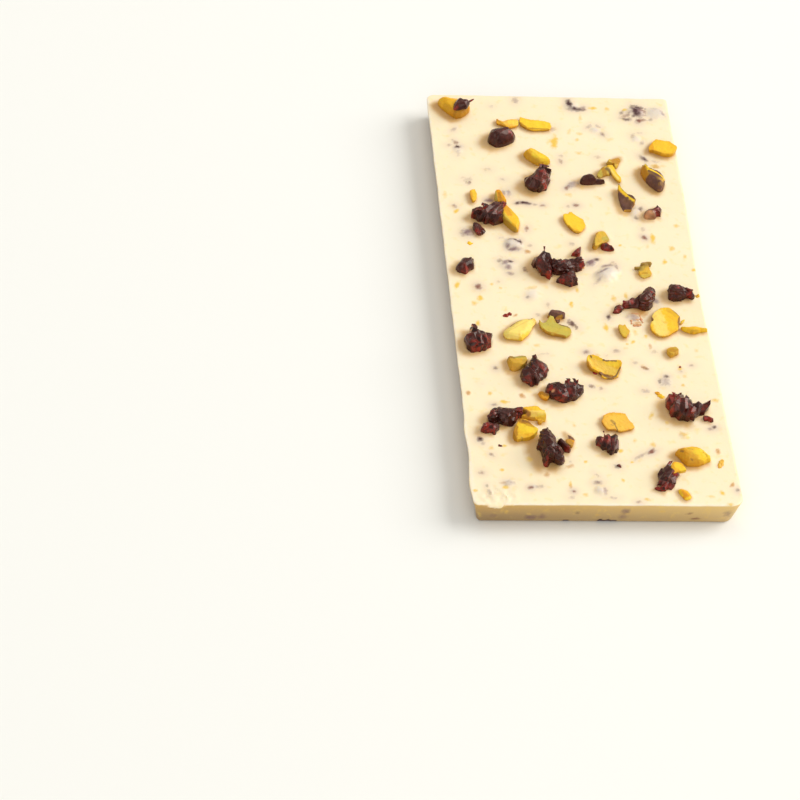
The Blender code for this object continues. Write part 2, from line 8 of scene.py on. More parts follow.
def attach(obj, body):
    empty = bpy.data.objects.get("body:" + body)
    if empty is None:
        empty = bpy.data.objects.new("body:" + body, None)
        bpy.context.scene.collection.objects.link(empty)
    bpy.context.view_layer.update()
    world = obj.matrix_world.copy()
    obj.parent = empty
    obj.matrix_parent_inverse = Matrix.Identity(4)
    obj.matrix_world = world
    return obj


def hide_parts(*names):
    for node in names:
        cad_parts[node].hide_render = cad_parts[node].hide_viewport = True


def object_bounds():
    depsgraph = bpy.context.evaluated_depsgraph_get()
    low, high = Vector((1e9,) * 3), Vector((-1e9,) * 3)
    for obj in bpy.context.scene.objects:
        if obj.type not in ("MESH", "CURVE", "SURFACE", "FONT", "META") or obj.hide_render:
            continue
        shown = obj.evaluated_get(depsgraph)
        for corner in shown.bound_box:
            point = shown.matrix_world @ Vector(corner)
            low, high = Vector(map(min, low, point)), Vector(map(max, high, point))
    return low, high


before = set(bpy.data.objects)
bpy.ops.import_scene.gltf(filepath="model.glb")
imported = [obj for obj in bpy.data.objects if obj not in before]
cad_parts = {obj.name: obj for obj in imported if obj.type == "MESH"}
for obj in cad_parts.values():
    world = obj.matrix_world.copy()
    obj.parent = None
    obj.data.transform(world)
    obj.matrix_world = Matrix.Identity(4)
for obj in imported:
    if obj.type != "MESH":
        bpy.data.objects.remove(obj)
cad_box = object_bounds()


# The table top, the light and the camera. A plain pale sheet runs out of sight on all sides. A wide
# soft lamp stands behind the bar to the right, so the strewn pieces throw soft shades to the near left.
# Sizes here and below are in millimetres, and MM turns them to the metres that Blender works in.
MM = 0.001
TABLE_SIZE, TABLE_DROP = 8000.0, 0.1
ROOM_BRIGHTNESS = 0.48


def linear(code):
    """An sRGB hex colour as the linear RGBA that a shader takes."""
    parts = [int(code[i:i + 2], 16) / 255 for i in (0, 2, 4)]
    return (*(p / 12.92 if p <= 0.04045 else ((p + 0.055) / 1.055) ** 2.4 for p in parts), 1.0)


def new_material(name):
    """A material with nothing but its Principled shader and output."""
    material = bpy.data.materials.new(name)
    material.use_nodes = True
    return material


def add_node(material, kind, settings=None, links=None):
    """One node with its settings, and links into its sockets."""
    node = material.node_tree.nodes.new(kind)
    for key, value in (settings or {}).items():
        if isinstance(key, int) or key in node.inputs:
            node.inputs[key].default_value = value
        else:
            setattr(node, key, value)
    for key, source in (links or {}).items():
        material.node_tree.links.new(source, node.inputs[key])
    return node


def dress_shader(material, settings, links):
    """Settings and links of a material's own Principled shader."""
    shader = material.node_tree.nodes["Principled BSDF"]
    for key, value in settings.items():
        shader.inputs[key].default_value = value
    for key, source in links.items():
        material.node_tree.links.new(source, shader.inputs[key])


def noise_scale(size):
    """The scale of a noise pattern whose lumps are about this many millimetres across."""
    return 1 / (size * MM)


bpy.ops.object.select_all(action="DESELECT")
bpy.ops.mesh.primitive_plane_add(size=TABLE_SIZE * MM, location=(0.0, 0.0, -TABLE_DROP * MM))
floor = bpy.context.object
floor.name = "table_top"
# painted board: a plain pale matt sheet with a faint unevenness in its tone
board = new_material("pale painted board")
unevenness = add_node(board, "ShaderNodeTexNoise", {"Scale": noise_scale(166.7), "Detail": 2.0})
tone = add_node(board, "ShaderNodeMixRGB", {1: linear("f2f2ed"), 2: linear("f0f0ea")},
                {0: unevenness.outputs["Fac"]})
dress_shader(board, {"Roughness": 0.9, "Specular IOR Level": 0.2}, {"Base Color": tone.outputs[0]})
floor.data.materials.append(board)

sky = bpy.data.worlds.new("soft room light")
bpy.context.scene.world = sky
sky.use_nodes = True
sky.node_tree.nodes["Background"].inputs["Color"].default_value = (1.0, 0.984, 0.96, 1.0)
sky.node_tree.nodes["Background"].inputs["Strength"].default_value = ROOM_BRIGHTNESS

LAMPS = (
    # name, degrees round from +X towards +Y, degrees up, distance and size in metres, watts, colour
    ("window", 16.0, 35.0, 3.0, 2.2, 82.0, (1.0, 0.985, 0.96)),
    ("far panel", 95.0, 60.0, 3.0, 2.0, 12.0, (1.0, 0.99, 0.97)),
    ("near fill", 255.0, 40.0, 3.0, 2.4, 22.0, (1.0, 0.98, 0.95)),
)
for name, around, up, away, size, watts, colour in LAMPS:
    direction = Vector((cos(radians(around)) * cos(radians(up)), sin(radians(around)) * cos(radians(up)),
                        sin(radians(up))))
    bpy.ops.object.light_add(type="AREA", location=direction * away)
    lamp = bpy.context.object
    lamp.name = name
    lamp.data.size = size
    lamp.data.energy = watts
    lamp.data.color = colour
    lamp.rotation_euler = direction.to_track_quat("Z", "Y").to_euler()

# The camera stands near and a little to the left, half way up the sky, as the one that saw the bar did
CAMERA_PLACE = Vector((-159.83, -716.15, 685.65)) * MM
CAMERA_RIGHT = Vector((0.99372142, -0.071664, 0.08591857))
CAMERA_UP = Vector((-0.00947578, 0.71126724, 0.70285783))
FOCUS_IN_PIXELS = 3571.5
FRAME_IN_PIXELS = 800
SENSOR_WIDTH = 36.0
bpy.ops.object.camera_add(location=CAMERA_PLACE)
camera = bpy.context.object
camera.name = "camera"
back = CAMERA_RIGHT.cross(CAMERA_UP)
camera.rotation_euler = Matrix((CAMERA_RIGHT, CAMERA_UP, back)).transposed().to_euler()
camera.data.sensor_width = SENSOR_WIDTH
camera.data.lens = SENSOR_WIDTH * FOCUS_IN_PIXELS / FRAME_IN_PIXELS
camera.data.clip_start = 0.01
bpy.context.scene.camera = camera
bpy.context.scene.view_settings.view_transform = "Standard"


# The slab: white chocolate cast in an open tray mould, so its foot and walls are smooth and the face
# on top is the poured one. The rim was scraped level, which left a thin flash and a lip that hangs over.
LENGTH, WIDTH, THICKNESS = 165.0, 71.6, 7.2
WALL_LEAN, FOOT_RADIUS, RIM_RADIUS = 1.3, 0.5, 0.3
# corner's side in x and y: its radius in plan
CORNERS = {(-1, -1): 1.2, (1, -1): 3.0, (1, 1): 1.0, (-1, 1): 2.2}
CELLS_ACROSS, CELLS_ALONG, WALL_STEPS = 158, 366, 12
# the rim is uneven from this height up, and fully so after the band
RIM_START, RIM_BAND = 5.9, 0.9
# (place along the edge, half width, height) of what stands out from a side, or falls in
FLASHES = ((-56.0, 4.0, 0.5), (-75.0, 6.0, 0.75))
RIGHT_BOW, RIGHT_HOLLOW = (-72.0, 16.0, 0.38), (-2.0, 24.0, 0.8)
LIP = (-30.0, 3.2, 1.0)
LIP_OVERHANG, LIP_DROP = 0.9, 0.5
NEAR_WALL_STEEPER = 0.8
# (x, radius) of the bubbles at the near foot edge, how far in their middles lie, and their flatness
BUBBLES = ((-10.8, 0.5), (-1.5, 0.7), (0.3, 0.7), (2.0, 0.6))
BUBBLE_INSET, BUBBLE_FLATNESS = 0.6, 0.12


def swell(place, centre, half_width, height):
    """A smooth swelling: full height at its centre, none well away from it."""
    return height * np.exp(-(((place - centre) / half_width) ** 2))


def waver(place, side):
    """The slight unevenness of a rim that was scraped level by hand."""
    return 0.08 * (np.sin(0.31 * place + side) + 0.6 * np.sin(0.83 * place + 2.0 * side)) / 1.6


def read_points(piece):
    """A piece's vertices in millimetres, one row each."""
    points = np.empty(len(piece.data.vertices) * 3, np.float32)
    piece.data.vertices.foreach_get("co", points)
    return points.reshape(-1, 3).astype(float) / MM


def write_points(piece, points):
    """Put a piece's vertices at these places, given in millimetres."""
    piece.data.vertices.foreach_set("co", (points * MM).astype(np.float32).ravel())
    piece.data.update()


def edge_share(past_edge, band):
    """From 0 a band's width inside an edge up to 1 on it."""
    return np.clip((past_edge + band) / band, 0, 1) ** 2


bpy.ops.object.select_all(action="DESELECT")
bpy.ops.mesh.primitive_grid_add(x_subdivisions=CELLS_ACROSS, y_subdivisions=CELLS_ALONG, size=2.0,
                                location=(0.0, 0.0, 0.0))
slab = bpy.context.object
slab.name = "cast_slab"
half_x = WIDTH / 2 - RIM_RADIUS
half_y = LENGTH / 2 - RIM_RADIUS
points = read_points(slab) * MM
points *= (half_x, half_y, 0.0)
points[:, 2] = THICKNESS
for (side_x, side_y), radius in CORNERS.items():
    u = (points[:, 0] * side_x - (half_x - radius)) / radius
    v = (points[:, 1] * side_y - (half_y - radius)) / radius
    here = (u > 0) & (v > 0)
    pull = np.maximum(u[here], v[here]) / np.hypot(u[here], v[here])
    points[here, 0] = side_x * (half_x - radius + radius * u[here] * pull)
    points[here, 1] = side_y * (half_y - radius + radius * v[here] * pull)
write_points(slab, points)

bpy.ops.object.mode_set(mode="EDIT")
bpy.ops.mesh.select_mode(type="VERT")
bpy.ops.mesh.select_all(action="DESELECT")
bpy.ops.mesh.select_non_manifold(extend=False, use_wire=False, use_boundary=True, use_multi_face=False,
                                 use_non_contiguous=False, use_verts=False)
lean = WALL_LEAN * (1 - FOOT_RADIUS / THICKNESS)
levels = [(THICKNESS - 0.3 * RIM_RADIUS, 0.3 * RIM_RADIUS), (THICKNESS - RIM_RADIUS, 0.0)]
for step in range(1, WALL_STEPS + 1):
    share = step / WALL_STEPS
    z = THICKNESS - RIM_RADIUS + (FOOT_RADIUS - THICKNESS + RIM_RADIUS) * share
    levels.append((z, lean * share))
for angle in (pi / 3, pi / 6, 0.0):
    levels.append((FOOT_RADIUS * (1 - cos(angle)), lean + FOOT_RADIUS * (1 - sin(angle))))
z, inset = THICKNESS, RIM_RADIUS
for next_z, next_inset in levels:
    bpy.ops.mesh.extrude_edges_move(TRANSFORM_OT_translate={"value": (0.0, 0.0, (next_z - z) * MM)})
    bpy.ops.transform.resize(value=((WIDTH / 2 - next_inset) / (WIDTH / 2 - inset),
                                    (LENGTH / 2 - next_inset) / (LENGTH / 2 - inset), 1.0),
                             center_override=(0.0, 0.0, 0.0))
    z, inset = next_z, next_inset
bpy.ops.mesh.edge_face_add()
bpy.ops.mesh.select_all(action="SELECT")
bpy.ops.mesh.normals_make_consistent(inside=False)
bpy.ops.object.mode_set(mode="OBJECT")

points = read_points(slab)
x, y, z = points.T
rim = np.clip((z - RIM_START) / RIM_BAND, 0, 1)
right = edge_share(x - WIDTH / 2, 5.0)
left = edge_share(-x - WIDTH / 2, 2.5)
near = edge_share(-y - LENGTH / 2, 2.0)
far = edge_share(y - LENGTH / 2, 2.0)
flash = sum(swell(y, *place) for place in FLASHES)
lip = swell(x, *LIP) * (0.8 + 0.2 * np.sin(1.9 * x))
points[:, 0] += right * (swell(y, *RIGHT_BOW) - swell(y, *RIGHT_HOLLOW) + rim * waver(y, 2.0))
points[:, 0] -= left * rim * (flash + waver(y, 4.0))
# the near wall stands steeper than the others
near_wall = np.clip((3 - LENGTH / 2 - y) / 2.5, 0, 1)
points[:, 1] -= near_wall * NEAR_WALL_STEEPER * (1 - z / THICKNESS)
points[:, 1] -= near * rim * (LIP_OVERHANG * lip + waver(x, 1.0))
points[:, 1] += far * rim * waver(x, 3.0)
points[:, 2] -= near * rim * LIP_DROP * lip
for place, radius in BUBBLES:
    reach = np.sqrt((x - place) ** 2 + (y + LENGTH / 2 - BUBBLE_INSET) ** 2 + z ** 2)
    hollow = BUBBLE_FLATNESS * np.sqrt(np.maximum(radius ** 2 - reach ** 2, 0))
    points[:, 1] += np.where((reach < radius) & (y < 0), hollow, 0)
write_points(slab, points)


# Dried cranberries, torn into pieces and pressed lightly into the soft face: dark, glossy and deeply
# wrinkled where the skin dried, and a clear bright red where a thin torn edge lets light through.

# berry: (height that it lies at, its own height, way its skin dried, turn of its folds in degrees,
# outline in plan as x, y, x, y and so on)
BERRIES = {
    "cranberry_01": (2.9, 2.1, "smooth", 40, (
        -28.9, 72.2, -28.2, 71.9, -26.3, 72.1, -25, 72.3, -23.7, 74.4, -23.8, 75.6, -25, 75.7, -26.2, 76,
        -27, 76.7, -27.7, 76, -28.9, 74.4)),
    "cranberry_02": (0.0, 4.1, "smooth", 30, (
        -19.3, 60.4, -18.2, 59.6, -17.3, 58.8, -16.1, 59.1, -14.4, 59.6, -13, 60.5, -11.8, 61.7, -11.2, 63,
        -11.4, 64, -12.4, 65.2, -13.3, 65.9, -14.5, 65.6, -16.9, 65.4, -18.5, 64.5, -19.1, 63.1, -19.7,
        61.6)),
    "cranberry_03": (0.0, 4.8, "folds", 70, (
        -9.9, 41.4, -9, 40.5, -7.9, 39.8, -6.7, 39.4, -5.5, 40.1, -4.2, 41.1, -3.6, 42.5, -3, 44.3, -3.5,
        44.9, -3.5, 46, -2.6, 46.3, -3.5, 47.7, -4.8, 47.7, -5.2, 48.3, -6, 48.3, -6.5, 47.2, -7.7, 47.3,
        -7.7, 46.4, -8.1, 45.4, -9.1, 44.8, -10.1, 43.5, -10.6, 42.4)),
    "cranberry_04": (0.0, 3.0, "smooth", 5, (
        6.3, 43.4, 7.2, 43.3, 8.6, 43.2, 10.4, 43.5, 10.6, 44.4, 10.3, 45.3, 9.8, 46.1, 8.8, 46.6, 7.6,
        46.4, 6.5, 45.7, 5.9, 45, 5.7, 44)),
    "cranberry_05": (0.0, 3.6, "pleats", 50, (
        -26.9, 28.4, -26.4, 28, -25.6, 27.7, -25, 26.9, -24, 26.5, -23.1, 25.6, -22.4, 26.1, -21.2, 25.8,
        -20, 25.6, -18.8, 26.1, -18.2, 26.9, -18.6, 27.1, -18.6, 28.3, -18.1, 29.3, -17.4, 30.3, -17.2,
        31.8, -17.1, 33.2, -17.8, 33.5, -19.4, 33.4, -20.9, 33.2, -21.6, 32.7, -21.8, 31.7, -22.9, 31.6,
        -23.1, 32.2, -23.6, 32.2, -24, 31.3, -24.7, 31.2, -25.3, 30.7, -26.2, 30.1, -27.2, 29)),
    "cranberry_06": (0.0, 1.8, "folds", -70, (
        -26.8, 24.6, -26.8, 23.9, -26.6, 22.9, -25.9, 22.1, -25.6, 21.4, -24.9, 21.1, -24.4, 21.7, -24.3,
        22.7, -24.1, 23.4, -24.2, 24.2, -24.8, 24.8, -25.8, 25.1, -26.4, 25.3, -26.9, 25.5)),
    "cranberry_07": (0.0, 2.8, "smooth", 60, (
        -33.4, 7.4, -33.3, 6.7, -32.7, 5.8, -31.5, 5.7, -30.7, 5.1, -30, 5.8, -29.2, 6.5, -28.1, 7.2,
        -27.9, 8.4, -28, 9.4, -27.8, 10.4, -29, 10.4, -30.4, 10.5, -31.6, 10.4, -32.3, 9, -32.9, 8.6)),
    "cranberry_08": (0.0, 4.1, "folds", 75, (
        -8.8, 12.7, -10, 11.8, -10.8, 10.7, -11.4, 9.5, -11.6, 8.1, -10.7, 7.5, -10.5, 6.6, -9.9, 5.7, -9,
        4.9, -8.1, 3.8, -7.1, 3.5, -6.5, 4.7, -6.7, 6.2, -6.8, 7.3, -6.9, 8.1, -6, 9.3, -6.2, 9.8, -6.1,
        11.1, -6.8, 12.1, -7.3, 12.8, -7.9, 13.2)),
    "cranberry_09": (0.0, 3.4, "grains", 10, (
        -6.6, 8.3, -6.7, 7.4, -6.2, 6.3, -5.7, 5.7, -4.9, 5.2, -3.7, 5, -2.1, 5.1, -0.8, 5.8, 0.1, 6.5,
        0.5, 7.1, 0.9, 6.9, 1.8, 7.6, 2.4, 8.1, 3, 8.8, 3.1, 9.5, 1.7, 9.7, 0.7, 10, -0.9, 10.3, -2.1,
        10.2, -3.1, 9.8, -3.4, 10.2, -4.5, 10.3, -5.7, 10.2, -6.3, 9.3)),
    "cranberry_10": (0.0, 3.0, "grains", -25, (
        -4.4, 2, -3.7, 1.4, -2.5, 0.9, -1.3, 0.6, -0.3, 0.9, 0.7, 1.2, 0.7, 2.4, 0.3, 3.5, 0.1, 4.4, 0.1,
        5.3, -0.5, 5.5, -1.8, 5.2, -2.4, 4.8, -3.9, 4.3, -4.7, 3.6, -5.2, 2.7)),
    "cranberry_11": (0.0, 1.6, "smooth", 50, (
        0.9, 13, 2, 12.7, 2.6, 13.4, 2.8, 14.8, 3, 16.5, 2.3, 16, 1.4, 15.4, 0.6, 14.5, -0.3, 13.1)),
    "cranberry_12": (0.0, 1.7, "smooth", -10, (
        9, 15.6, 10.3, 15.3, 11.7, 15.3, 12.6, 15.7, 11.6, 16.9, 10.8, 18, 9.7, 18.2, 8.7, 17.7, 8.4,
        16.6)),
    "cranberry_13": (0.0, 2.3, "smooth", 70, (
        23.4, 31.8, 22.9, 31.2, 22.6, 29.9, 23.3, 28.9, 25.7, 29.1, 26.7, 30.3, 27.8, 30.1, 27.7, 31.4,
        28.2, 32.4, 27.6, 33.3, 27.2, 33.9, 25.9, 33.1, 25.3, 32.5, 23.8, 32.4)),
    "cranberry_14": (0.0, 4.4, "grains", 55, (
        16.1, -7, 16.6, -8.1, 17.4, -8.7, 18.4, -8.9, 19.6, -8.3, 20.5, -7.4, 21.1, -6.5, 21.3, -5.4, 21.8,
        -4, 21.9, -2.6, 21.4, -2, 20.2, -1.5, 19.4, -2, 18.3, -3.2, 17.6, -4.3, 16.1, -5.3)),
    "cranberry_15": (0.0, 3.5, "grains", 20, (
        25.5, -2.7, 25.6, -3.8, 26.6, -4.4, 27.8, -4.7, 28.8, -4.9, 30, -4.3, 30.9, -3.7, 31.9, -3.9, 32.5,
        -3.9, 32.8, -3, 32.2, -2.1, 31.7, -1.4, 31.2, -0.7, 30.4, -0.5, 29.4, -0.3, 28.8, 0.1, 27.8, 0.2,
        26.8, -0, 25.9, -0.7, 25.4, -1.8)),
    "cranberry_16": (0.0, 3.8, "folds", 100, (
        -31.6, -18.5, -31.6, -19.6, -32.2, -20.1, -33.2, -21.3, -33.2, -22.9, -33, -24.1, -32.1, -25.5,
        -31, -25.9, -29, -25.6, -27.2, -24.9, -26.1, -23.7, -25.7, -22.3, -25.7, -20.7, -26.8, -19.9,
        -28.2, -19.8, -29.1, -18.9, -30.4, -17.7, -31.8, -17.3)),
    "cranberry_17": (0.0, 3.5, "folds", -65, (
        -17.5, -32.2, -18.3, -32.9, -19, -33.7, -19.2, -34.9, -18.8, -36.1, -18.7, -37.2, -17.8, -38.2,
        -16.7, -38.8, -15.6, -38.2, -14.9, -38.3, -13.9, -37.7, -14.1, -36.5, -13.3, -36, -12.5, -35.7,
        -12.1, -34.5, -11.7, -33.1, -11.7, -31.7, -12.5, -30.7, -13.4, -29.8, -14.3, -28.8, -15.2, -28.5,
        -15.9, -29.6, -16.4, -31)),
    "cranberry_18": (0.0, 3.4, "nodules", 30, (
        -12.8, -41.2, -12.3, -42.6, -11.6, -43.8, -10.6, -44.1, -9.9, -45, -8.8, -45.3, -7.8, -45.1, -6.4,
        -44.5, -5, -44.3, -4.3, -43.6, -3.4, -42.7, -2.6, -41.6, -2.8, -40.1, -3.6, -39.4, -3.8, -38.6,
        -4.5, -38.1, -5.3, -38.5, -6, -39.1, -6.1, -38.1, -6.9, -37.9, -7.5, -38.3, -7.8, -39.2, -8.1,
        -39.1, -8.8, -38.4, -11.6, -38.9, -12.3, -39.2)),
    "cranberry_19": (0.0, 3.8, "nodules", 15, (
        -29.8, -51.5, -29.7, -52.4, -29, -53.2, -27.8, -53.4, -27.2, -52.5, -26.6, -53.4, -25.5, -54,
        -24.4, -54.2, -23.2, -53.7, -22.4, -52.7, -21.8, -51.9, -21.3, -51, -20.3, -51.2, -19.8, -50.6,
        -20.8, -50.2, -22.4, -49.7, -23.7, -49.2, -24.8, -48.6, -26.4, -48.6, -27.4, -49, -28.6, -49.5,
        -29.4, -50.5)),
    "cranberry_20": (0.0, 2.3, "folds", 40, (
        -31.8, -55.2, -32.1, -56.2, -31.6, -57, -30.4, -56.9, -29.2, -56.6, -28.3, -57, -27.7, -56, -26.9,
        -55.4, -27.1, -54.3, -27.7, -53.9, -28.9, -54.1, -29.8, -53.5, -30.8, -53.7, -31.8, -54.2)),
    "cranberry_21": (0.0, 5.6, "grains", 82, (
        -16.9, -61.3, -17.2, -62.4, -16.7, -62.6, -16.6, -64, -16.1, -65.3, -16.1, -66.6, -15.7, -67.9,
        -15.3, -68.8, -15, -68.1, -14.2, -67.9, -13.4, -67.6, -12.5, -68.5, -11.5, -68.6, -10.7, -67.6,
        -10.5, -66.3, -10.9, -64.8, -11.6, -63.5, -12.2, -62.4, -12.4, -60.8, -12.8, -59.1, -13.4, -57.8,
        -13.8, -57, -14.9, -57.2, -15.8, -57.8, -16.6, -59.1, -17, -60.5)),
    "cranberry_22": (0.0, 2.0, "smooth", -60, (
        -11.6, -61.7, -10.8, -62.8, -9.9, -63.6, -8.7, -64, -8.1, -63.2, -8.4, -62.6, -9.2, -61.2, -9.9,
        -59.8, -10.7, -59.1, -11.4, -59.5, -11.9, -60.4)),
    "cranberry_23": (0.0, 2.7, "pleats", 78, (
        -0.6, -61.3, -0.3, -61.9, 0.5, -62.4, 1.2, -62.6, 1.3, -63.7, 2, -64.2, 3.2, -64.2, 4.1, -63.6,
        4.4, -62.6, 4.7, -61.2, 5.1, -59.6, 5.1, -58.4, 3.9, -58.2, 2.9, -58.4, 2.2, -57.9, 1.6, -58.2,
        0.9, -58.3, 0.5, -59, -0.2, -58.7, -0.8, -59.3, -1, -60.8)),
    "cranberry_24": (0.0, 4.6, "pleats", 80, (
        20.6, -49.8, 21.5, -50.3, 22.4, -51, 23.3, -51.6, 24.5, -51.7, 25.7, -51.4, 26.2, -52.2, 26.7,
        -51.6, 26.9, -49.6, 26.6, -47.8, 26.4, -46.7, 26.3, -45.6, 25.9, -45, 25.1, -45.4, 24.5, -45, 24.4,
        -43.9, 23.7, -43.3, 22.9, -43.4, 21.9, -43.9, 21.4, -43.2, 20.4, -43.5, 19.7, -44.8, 19.7, -46.4,
        20, -47.7, 19.7, -48.8)),
    "cranberry_25": (0.0, 3.0, "folds", 62, (
        14.9, -75.2, 16.5, -75.3, 18.2, -74.6, 18.6, -73.6, 19.3, -72.7, 19.6, -71.7, 18.4, -71.2, 18,
        -69.7, 18.2, -68.5, 17.7, -68, 17.2, -68.5, 16.9, -69.5, 16.1, -70.2, 15.1, -70.2, 14.8, -70.8,
        14.4, -71.7, 14.5, -72.9, 14.9, -74)),
}
# berry: (height, outline) of each lower arm of it, or torn bit that lies against it
BERRY_BITS = {
    "cranberry_04": (
        (1.5, (9.3, 43.5, 10.5, 43.5, 12.2, 43.8, 13.2, 44.3, 12.3, 44.7, 10.7, 45.1, 9.5, 46)),
    ),
    "cranberry_14": (
        (2, (12.5, -7.2, 13.1, -7.6, 14.1, -7.9, 15.5, -7.9, 16.7, -7.7, 17, -6, 16.9, -4.9, 15.8, -4.9,
        14.8, -4.7, 14.3, -5.6, 13.4, -6.3, 12.6, -6.5, 12, -6.1)),
        (1.4, (10, -9.6, 10.7, -9.3, 11.3, -9, 11.8, -8.3, 11.7, -7.6, 11.3, -7.1, 10.6, -7.2, 10, -7.5,
        10, -8.2, 9.6, -9, 9.4, -9.8)),
    ),
    "cranberry_24": (
        (3.2, (26.2, -49.3, 26.6, -50.6, 27.5, -49.9, 28.5, -49.5, 29.5, -49, 30.4, -48.4, 31.3, -47.1,
        31.7, -45.9, 30.6, -46.2, 29.2, -45.9, 28.3, -45.7, 27.3, -45.8, 26.2, -46.8)),
        (1.3, (29.6, -51.3, 30.4, -51.6, 31.4, -51.9, 31.9, -51.3, 31.3, -50.8, 31, -49.7, 30.5, -49.3, 30,
        -49.7, 29.5, -50.4)),
    ),
    "cranberry_25": (
        (1.6, (14.4, -76.4, 13.5, -76.3, 13.1, -76.9, 14.6, -77.6, 15.5, -78.2, 16.3, -77, 17.1, -76.7,
        18.2, -76, 17.4, -75.4, 18.2, -74.3, 14.8, -74.3, 14.3, -75.5)),
    ),
}
# how deep a piece reaches under the face, and the mesh size that its parts are fused at
SINK = 0.7
FUSED_MESH = 0.15
# berry: thin spikes and torn tips as (foot x, y, z, tip x, y, z, radius)
BERRY_TIPS = {
    "cranberry_01": ((-24.9, 75.0, 3.2, -22.9, 76.2, 3.6, 0.9),),
    "cranberry_08": ((-7.8, 12.0, 2.2, -7.8, 14.2, 2.8, 0.4),),
    "cranberry_23": ((1.1, -59.2, 1.9, 0.9, -57.7, 2.7, 0.5),),
    "cranberry_25": ((14.6, -75.2, 1.0, 13.6, -75.8, 1.2, 0.9),),
}
# way that the skin dried: (how many planes it is drawn into, depth of its fine grain, then the depths
# of its broad planes, small facets and swells, depth and spacing of its folds, depth and size of its
# nodules)
DRYING = {
    "smooth": (120, 0.010, 0.2, 0.02, 0.15, (0.0, 0.0), (0.0, 0.0)),
    "pleats": (260, 0.016, 0.3, 0.08, 0.2, (0.34, 2.2), (0.0, 0.0)),
    "folds": (240, 0.016, 0.5, 0.12, 0.2, (0.18, 1.8), (0.0, 0.0)),
    "nodules": (420, 0.02, 0.34, 0.1, 0.2, (0.0, 0.0), (0.4, 1.9)),
    "grains": (650, 0.04, 0.45, 0.16, 0.25, (0.0, 0.0), (0.16, 1.1)),
}
# how far apart the planes and facets lie, and the extra rounds of softening of a plump berry
PLANE_SPACING, PLUMP_PLANE_SPACING, FACET_SPACING = 3.8, 4.8, 1.4
PLUMP_ROUNDS = 14
# berry: clear red places, then amber ones, as (x, y, radius)
BERRY_RED = {
    "cranberry_01": ((-23, 75.9, 1), (-28, 72, 0.8),),
    "cranberry_02": ((-13.2, 62.3, 0.5),),
    "cranberry_03": ((-5.4, 43.9, 0.9), (-3.6, 44.2, 0.6), (-4.9, 41, 0.8),),
    "cranberry_05": ((-27.1, 28.2, 0.7), (-23.6, 30.3, 0.8), (-17.9, 32.1, 0.8),),
    "cranberry_06": ((-25.9, 22, 1),),
    "cranberry_07": ((-30.7, 5.8, 0.9),),
    "cranberry_08": ((-8, 12.6, 1), (-7.4, 3.9, 0.9), (-9.8, 7.6, 0.6),),
    "cranberry_09": ((2.6, 8.2, 1), (-3.2, 8.1, 0.7),),
    "cranberry_10": ((-4, 1.6, 0.6), (-1.1, 0.3, 0.7),),
    "cranberry_11": ((1.2, 13.3, 3.2),),
    "cranberry_12": ((10.1, 15.7, 1.6), (10.4, 16.4, 3.2),),
    "cranberry_13": ((27.2, 30.7, 1.1),),
    "cranberry_14": ((12.2, -7.3, 1.3), (14.4, -6.5, 0.8), (10, -9.3, 1), (20.6, -4.8, 0.7),),
    "cranberry_15": ((31.3, -3.7, 0.9), (28.1, -2.2, 0.7),),
    "cranberry_16": ((-27.6, -23.9, 1.8), (-30.6, -25.4, 1.4), (-31.8, -20.6, 1.1),),
    "cranberry_17": ((-12.7, -34, 1.2), (-17.8, -38.3, 1),),
    "cranberry_18": (
        (-7.2, -39.9, 1.1), (-4.9, -40.3, 1), (-9.7, -44.9, 1.6), (-7.2, -43.1, 1.3),
        (-11.7, -41.7, 1.1),
    ),
    "cranberry_19": ((-21.2, -51.4, 1), (-28.5, -51.1, 1),),
    "cranberry_20": ((-30.1, -56.7, 1.9),),
    "cranberry_21": ((-15.6, -68.6, 0.8),),
    "cranberry_22": ((-9, -63.8, 1.1),),
    "cranberry_23": ((1.6, -60.3, 1.3), (1, -58.2, 0.8), (-0.3, -61.5, 1),),
    "cranberry_24": (
        (20.3, -45.3, 1.6), (20.8, -46.3, 1.1), (22.7, -46.9, 1), (24.9, -48.3, 0.8),
        (30.3, -51.2, 1.3), (25.5, -51.2, 0.9), (20.6, -49.5, 0.8),
    ),
    "cranberry_25": ((14, -77.1, 1.9), (16.2, -76.7, 1.3), (18.6, -73, 1), (17.1, -69.7, 0.8),),
}
BERRY_AMBER = {
    "cranberry_13": ((24, 29.3, 1.6),),
    "cranberry_16": ((-31.6, -19, 0.4),),
    "cranberry_18": ((-11.2, -42.8, 0.4),),
}


def noise_at(points, size, seed):
    """Smooth noise from about -1 to 1 with lumps of a size in millimetres, at each point."""
    shift = Vector((seed, 1.7 * seed, -0.6 * seed))
    return np.array([noise.noise(Vector(p) / size + shift) for p in points])


def pairs(flat):
    """A table's outline as a list of its corners."""
    return list(zip(flat[::2], flat[1::2]))


def half_breadth(outline):
    """About half the breadth of an outline: twice its area over its length round."""
    area = 0.0
    length = 0.0
    for (x0, y0), (x1, y1) in zip(outline, outline[1:] + outline[:1]):
        area += 0.5 * (x0 * y1 - x1 * y0)
        length += sqrt((x1 - x0) ** 2 + (y1 - y0) ** 2)
    return 2 * abs(area) / length


